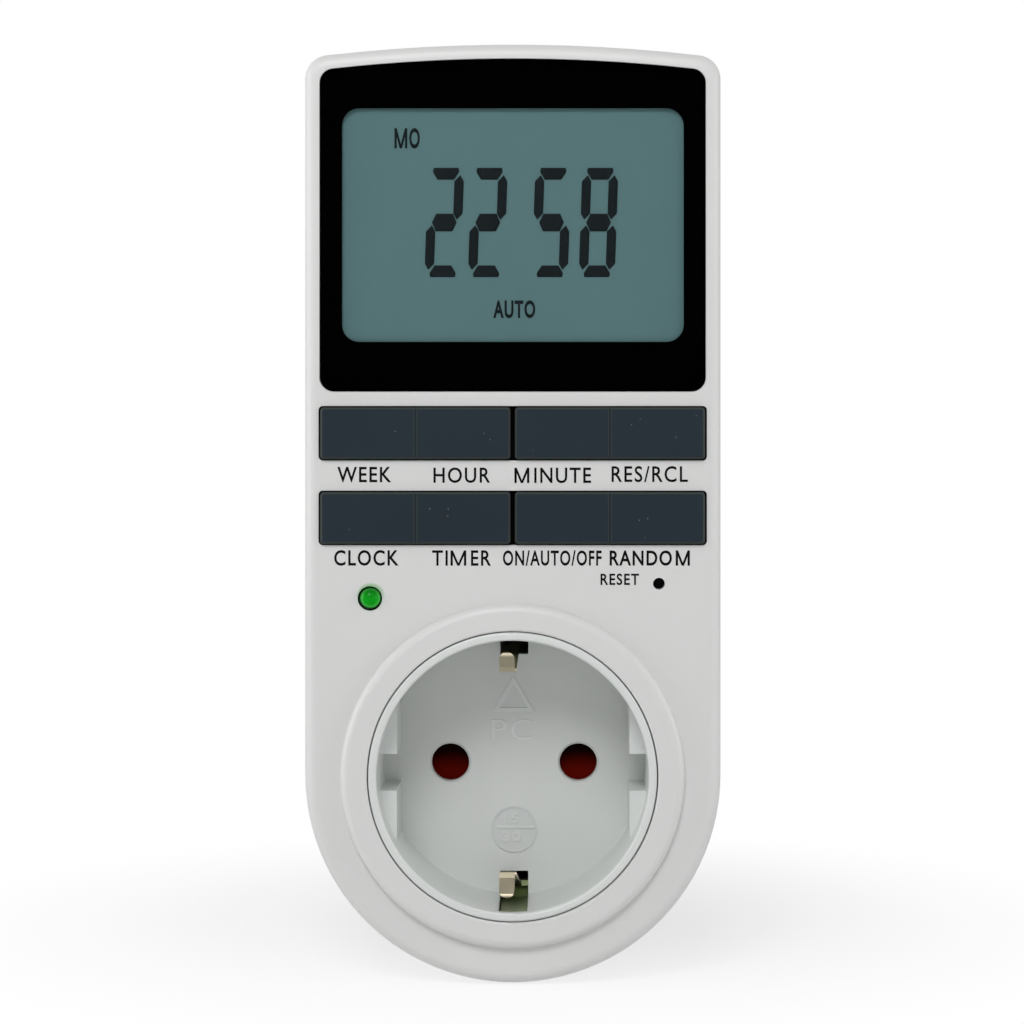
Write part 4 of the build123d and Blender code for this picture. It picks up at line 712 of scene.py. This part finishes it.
side_bar = six_sided("side_bar", True)
middle_bar = six_sided("middle_bar", False)
for sign in (-1, 1):
    move_vertices(side_bar, at(0, sign * flat), (sign * (side_edge - flat) * mm, 0, 0))
    move_vertices(side_bar, at(1, sign * tip), (0, sign * (side_shoulder - tip) * mm, 0))
    move_vertices(side_bar, at(1, sign * point),
                  (sign * side_slant * mm, sign * (side_point - point) * mm, 0))
    move_vertices(middle_bar, at(0, sign * tip), (sign * (middle_shoulder - tip) * mm, 0, 0))
    move_vertices(middle_bar, at(0, sign * point), (sign * (middle_point - point) * mm, 0, 0))
    move_vertices(middle_bar, at(1, sign * flat), (0, sign * (middle_edge - flat) * mm, 0))
print("bars:", side_bar.name, middle_bar.name)

# %% End bar
# it is wider outside than inside, and its points lie nearer to the outside
end_edge, end_outer, end_inner, end_point, end_rise = 0.85, 1.79, 1.2, 1.9, 0.28

end_bar = six_sided("end_bar", False)
for sign in (-1, 1):
    move_vertices(end_bar, at(1, sign * flat), (0, sign * (end_edge - flat) * mm, 0))
for sign in (-1, 1):
    move_vertices(end_bar, lambda p: p.y > 0.8 * mm and p.x * sign > 0,
                  (sign * (end_outer - tip) * mm, 0, 0))
    move_vertices(end_bar, lambda p: p.y < -0.8 * mm and p.x * sign > 0,
                  (sign * (end_inner - tip) * mm, 0, 0))
    move_vertices(end_bar, at(0, sign * point), (sign * (end_point - point) * mm, end_rise * mm, 0))
print("bar:", end_bar.name)

# %% [markdown]
# ## The time
# Any digit is some of the seven bars. The whole row leans to the right by two degrees. Shear needs a
# window, so each vertex is moved sideways by its own height instead.

# %% Places of the bars
digit_half = 7.85 * mm
side_bar_x = 1.92 * mm
side_bar_z = 3.60 * mm
end_bar_z = digit_half - end_edge * mm
# bar, its place across and up, and -1 where it stands upside down
bar_places = {
    "top": (end_bar, 0, end_bar_z, 1),
    "upper left": (side_bar, -side_bar_x, side_bar_z, 1),
    "upper right": (side_bar, side_bar_x, side_bar_z, 1),
    "middle": (middle_bar, 0, 0, 1),
    "lower left": (side_bar, -side_bar_x, -side_bar_z, 1),
    "lower right": (side_bar, side_bar_x, -side_bar_z, 1),
    "bottom": (end_bar, 0, -end_bar_z, -1),
}
digit_bars = {
    "2": ("top", "upper right", "middle", "lower left", "bottom"),
    "5": ("top", "upper left", "middle", "lower right", "bottom"),
    "8": tuple(bar_places),
}
print("bars in each digit:", {digit: len(names) for digit, names in digit_bars.items()})

# %% Digits
# mm to the right of the first digit: digit
digit_steps = {0: "2", 6.25: "2", 15.4: "5", 22.15: "8"}
first_digit = (-9.85 * mm, 79.2 * mm)
lean = 0.034
ink_depth = 0.05 * mm
ink_y = -52.91 * mm

bars = []
for step, digit in digit_steps.items():
    for name in digit_bars[digit]:
        bar, x, y, way = bar_places[name]
        twin = bar.copy()
        twin.data = bar.data.copy()
        bpy.context.collection.objects.link(twin)
        twin.location = (x + step * mm, y, 0)
        twin.scale = (1, way, 1)
        bars.append(twin)
for bar in (side_bar, middle_bar, end_bar):
    bpy.data.objects.remove(bar)
only(bars[0])
for bar in bars:
    bar.select_set(True)
bpy.ops.object.transform_apply(location=True, rotation=True, scale=True)
bpy.ops.object.join()
digits = added("display_digits")
for vertex in digits.data.vertices:
    vertex.co.x += lean * vertex.co.y
clean(digits)
thicken(digits, ink_depth, offset=1)
place_on_front(digits, (first_digit[0], ink_y, first_digit[1]), lcd_ink)

# %% [markdown]
# ## Words and numbers
# Plain words name what the keys do, and the display shows a weekday and its mode. A text object is
# widened until the word has its printed length, is turned into a mesh, and then gets its place. The strokes
# of the letters are thickened or thinned by the text's own offset, before the word is widened.

# %% Helper for words
# the strokes of the font, as a part of its height
font_stroke = 0.098
letter_spacing = 1.15
curve_steps = 4


def word(name, text, middle, y, size, stroke, depth, finish):
    """A raised word: its middle on the front, its length and height, the width of its strokes, its depth."""
    length, height = size
    bpy.ops.object.text_add()
    piece = added(name)
    piece.data.body = text
    piece.data.align_x = "CENTER"
    piece.data.align_y = "CENTER"
    piece.data.space_character = letter_spacing
    piece.data.resolution_u = curve_steps
    bpy.context.view_layer.update()
    piece.data.offset = (stroke * piece.dimensions.x / length - font_stroke) / 2
    bpy.context.view_layer.update()
    piece.data.extrude = depth / 2 * piece.dimensions.y / height
    piece.scale = (length / piece.dimensions.x, height / piece.dimensions.y, height / piece.dimensions.y)
    bpy.ops.object.convert(target="MESH")
    piece = added(name)
    bpy.ops.object.transform_apply(scale=True)
    bpy.ops.object.origin_set(type="ORIGIN_GEOMETRY", center="BOUNDS")
    clean(piece)
    place_on_front(piece, (middle[0], y, middle[1]), finish)


# %% Words of the display
flag_stroke = 0.33 * mm
# text, then in mm: x and z of its middle, length and height
flags = {
    "flag_weekday": ("O", -14.13, 91.3, 1.54, 2.97),
    "flag_mode": ("AUTO", 0.2, 66.75, 6.03, 2.59),
}
for name, (text, x, z, length, height) in flags.items():
    word(name, text, (x * mm, z * mm), ink_y, (length * mm, height * mm), flag_stroke, ink_depth, lcd_ink)

# %% Words on the case
ink_black = plastic("ink_black", (0.005, 0.005, 0.005), 0.5, depth=0.05, cloud=0.3, Specular_IOR_Level=0.04)
print_depth = 0.02 * mm
print_sunk = 0.004 * mm
print_y = face_y - print_depth / 2 + print_sunk
# text, then in mm: x and z of its middle, length, height and width of the strokes
legends = {
    "legend_week": ("WEEK", -21.2, 43.04, 7.7, 2.22, 0.33),
    "legend_hour": ("HOUR", -7.27, 42.96, 8.1, 2.22, 0.33),
    "legend_minute": ("INUTE", 7.14, 42.93, 8.12, 2.22, 0.33),
    "legend_recall": ("RES/RCL", 19.58, 43.11, 10.9, 2.3, 0.32),
    "legend_clock": ("CLOCK", -20.9, 31.14, 9.22, 2.24, 0.33),
    "legend_timer_start": ("TI", -10.4, 31.12, 2.24, 2.2, 0.33),
    "legend_timer_end": ("ER", -4.53, 31.12, 2.86, 2.2, 0.33),
    "legend_mode": ("ON/AUTO/OFF", 5.65, 31.12, 14.1, 2.2, 0.27),
    "legend_random": ("RANDO", 18.3, 31.12, 8.9, 2.2, 0.33),
    "legend_reset": ("RESET", 15.3, 28.08, 5.5, 1.65, 0.26),
}
for name, (text, x, z, length, height, stroke) in legends.items():
    word(name, text, (x * mm, z * mm), print_y, (length * mm, height * mm), stroke * mm, print_depth,
         ink_black)

# %% [markdown]
# ## The letter M
# The thin notches of this font's M close up when its strokes are thickened. So the M is drawn on its own: a
# flat disc with thirteen corners, and each corner is dragged to its place in the outline of the letter.

# %% Letter M


def letter_m(name, middle, y, size, stroke, depth, finish):
    """A capital M with upright legs and a V between them that reaches the bottom."""
    wide, high = size[0] / 2, size[1]
    slope = high / (wide - stroke / 2)
    notch = high - slope * (wide - stroke)
    pocket = high - slope * stroke
    outline = [(stroke - wide, high), (0, notch), (wide - stroke, high), (wide, high), (wide, 0),
               (wide - stroke, 0), (wide - stroke, pocket), (stroke / 2, 0), (-stroke / 2, 0),
               (stroke - wide, pocket), (stroke - wide, 0), (-wide, 0), (-wide, high)]
    bpy.ops.mesh.primitive_circle_add(vertices=len(outline), radius=high, fill_type="NGON")
    piece = added(name)
    bpy.ops.object.mode_set(mode="EDIT")
    mesh = bmesh.from_edit_mesh(piece.data)
    for vertex, (across, up) in zip(mesh.verts, outline):
        vertex.co = (across, up - high / 2, 0)
    bmesh.update_edit_mesh(piece.data)
    bpy.ops.object.mode_set(mode="OBJECT")
    thicken(piece, depth)
    clean(piece)
    place_on_front(piece, (middle[0], y, middle[1]), finish)


letter_m("flag_weekday_m", (-16.09 * mm, 91.3 * mm), ink_y, (1.85 * mm, 2.9 * mm), flag_stroke, ink_depth,
         lcd_ink)
m_height = 2.18 * mm
m_stroke = 0.33 * mm
# in mm: x and z of the middle, width
printed_ms = {
    "legend_minute_m": (1.31, 42.93, 2.13),
    "legend_timer_m": (-7.76, 31.12, 2.25),
    "legend_random_m": (24.3, 31.12, 2.02),
}
for name, (x, z, width) in printed_ms.items():
    letter_m(name, (x * mm, z * mm), print_y, (width * mm, m_height), m_stroke, print_depth, ink_black)

# %% [markdown]
# ## Marks in the floor of the cup
# A moulding tool leaves small marks in its part: here a plain triangle, the short name of the plastic and
# a round stamp with a bar between two numbers. They stand a sixth of a millimetre proud. The triangle and
# the name are a little brighter and glossier than the cup, and the round stamp and its ring make a slightly
# darker, duller disc. Triangle and ring start as filled discs whose face is inset and cut out, and Solidify
# makes the flat frames solid. The stamp's face is dished.

# %% Triangle and stamp
mark_white = plastic("mark_white", (0.73, 0.755, 0.74), 0.30, grain=0.0005, depth=0.05, cloud=0.08)
stamp_grey = plastic("stamp_grey", (0.625, 0.647, 0.636), 0.40, grain=0.0005, depth=0.05, cloud=0.08)
cup_floor_y = -39.0 * mm
mark_sunk = 0.01 * mm
mark_depth = 0.16 * mm
stamp_depth = 0.06 * mm
mark_y = cup_floor_y - mark_depth / 2 + mark_sunk
stamp_y = cup_floor_y - stamp_depth / 2 + mark_sunk


def flat_mark(name, corners, radius, width, dish, thickness, place, finish):
    """A flat piece with this many corners: a strip of this width, or a dished disc where dish isn't 0."""
    bpy.ops.mesh.primitive_circle_add(vertices=corners, radius=radius, fill_type="NGON")
    piece = added(name)
    bpy.ops.object.mode_set(mode="EDIT")
    bpy.ops.mesh.select_all(action="SELECT")
    bpy.ops.mesh.inset(thickness=width, depth=-dish)
    if dish == 0:
        bpy.ops.mesh.delete(type="FACE")
    bpy.ops.object.mode_set(mode="OBJECT")
    thicken(piece, thickness)
    clean(piece)
    place_on_front(piece, place, finish)


flat_mark("mark_triangle", 3, 3.55 * mm, 0.6 * mm, 0, mark_depth, (-0.1 * mm, mark_y, 9.3 * mm), mark_white)
flat_mark("mark_stamp", 48, 3.35 * mm, 0.3 * mm, 0.01 * mm, stamp_depth, (-0.02 * mm, stamp_y, -9.9 * mm),
          stamp_grey)
flat_mark("mark_ring", 48, 3.45 * mm, 0.25 * mm, 0, mark_depth, (-0.02 * mm, mark_y, -9.9 * mm), stamp_grey)

# %% Bar, name and numbers
bar_length, bar_width = 5.6, 0.35
mark_stroke = 0.45 * mm

bpy.ops.mesh.primitive_cube_add(size=mm)
bar = added("mark_bar")
bpy.ops.object.mode_set(mode="EDIT")
bpy.ops.transform.resize(value=(bar_length, bar_width, mark_depth / mm))
bpy.ops.object.mode_set(mode="OBJECT")
place_on_front(bar, (0.2 * mm, mark_y, -9.6 * mm), cup_white)
# text, then in mm: x and z of its middle, length and height, and the finish
marks = {
    "mark_plastic": ("PC", -0.35, 4.85, 5.9, 3.1, mark_white),
    "mark_over": ("15", -0.45, -8.25, 2.3, 1.5, cup_white),
    "mark_under": ("30", -0.4, -11.0, 2.7, 1.55, cup_white),
}
for name, (text, x, z, length, height, finish) in marks.items():
    word(name, text, (x * mm, z * mm), mark_y, (length * mm, height * mm), mark_stroke, mark_depth,
         finish)
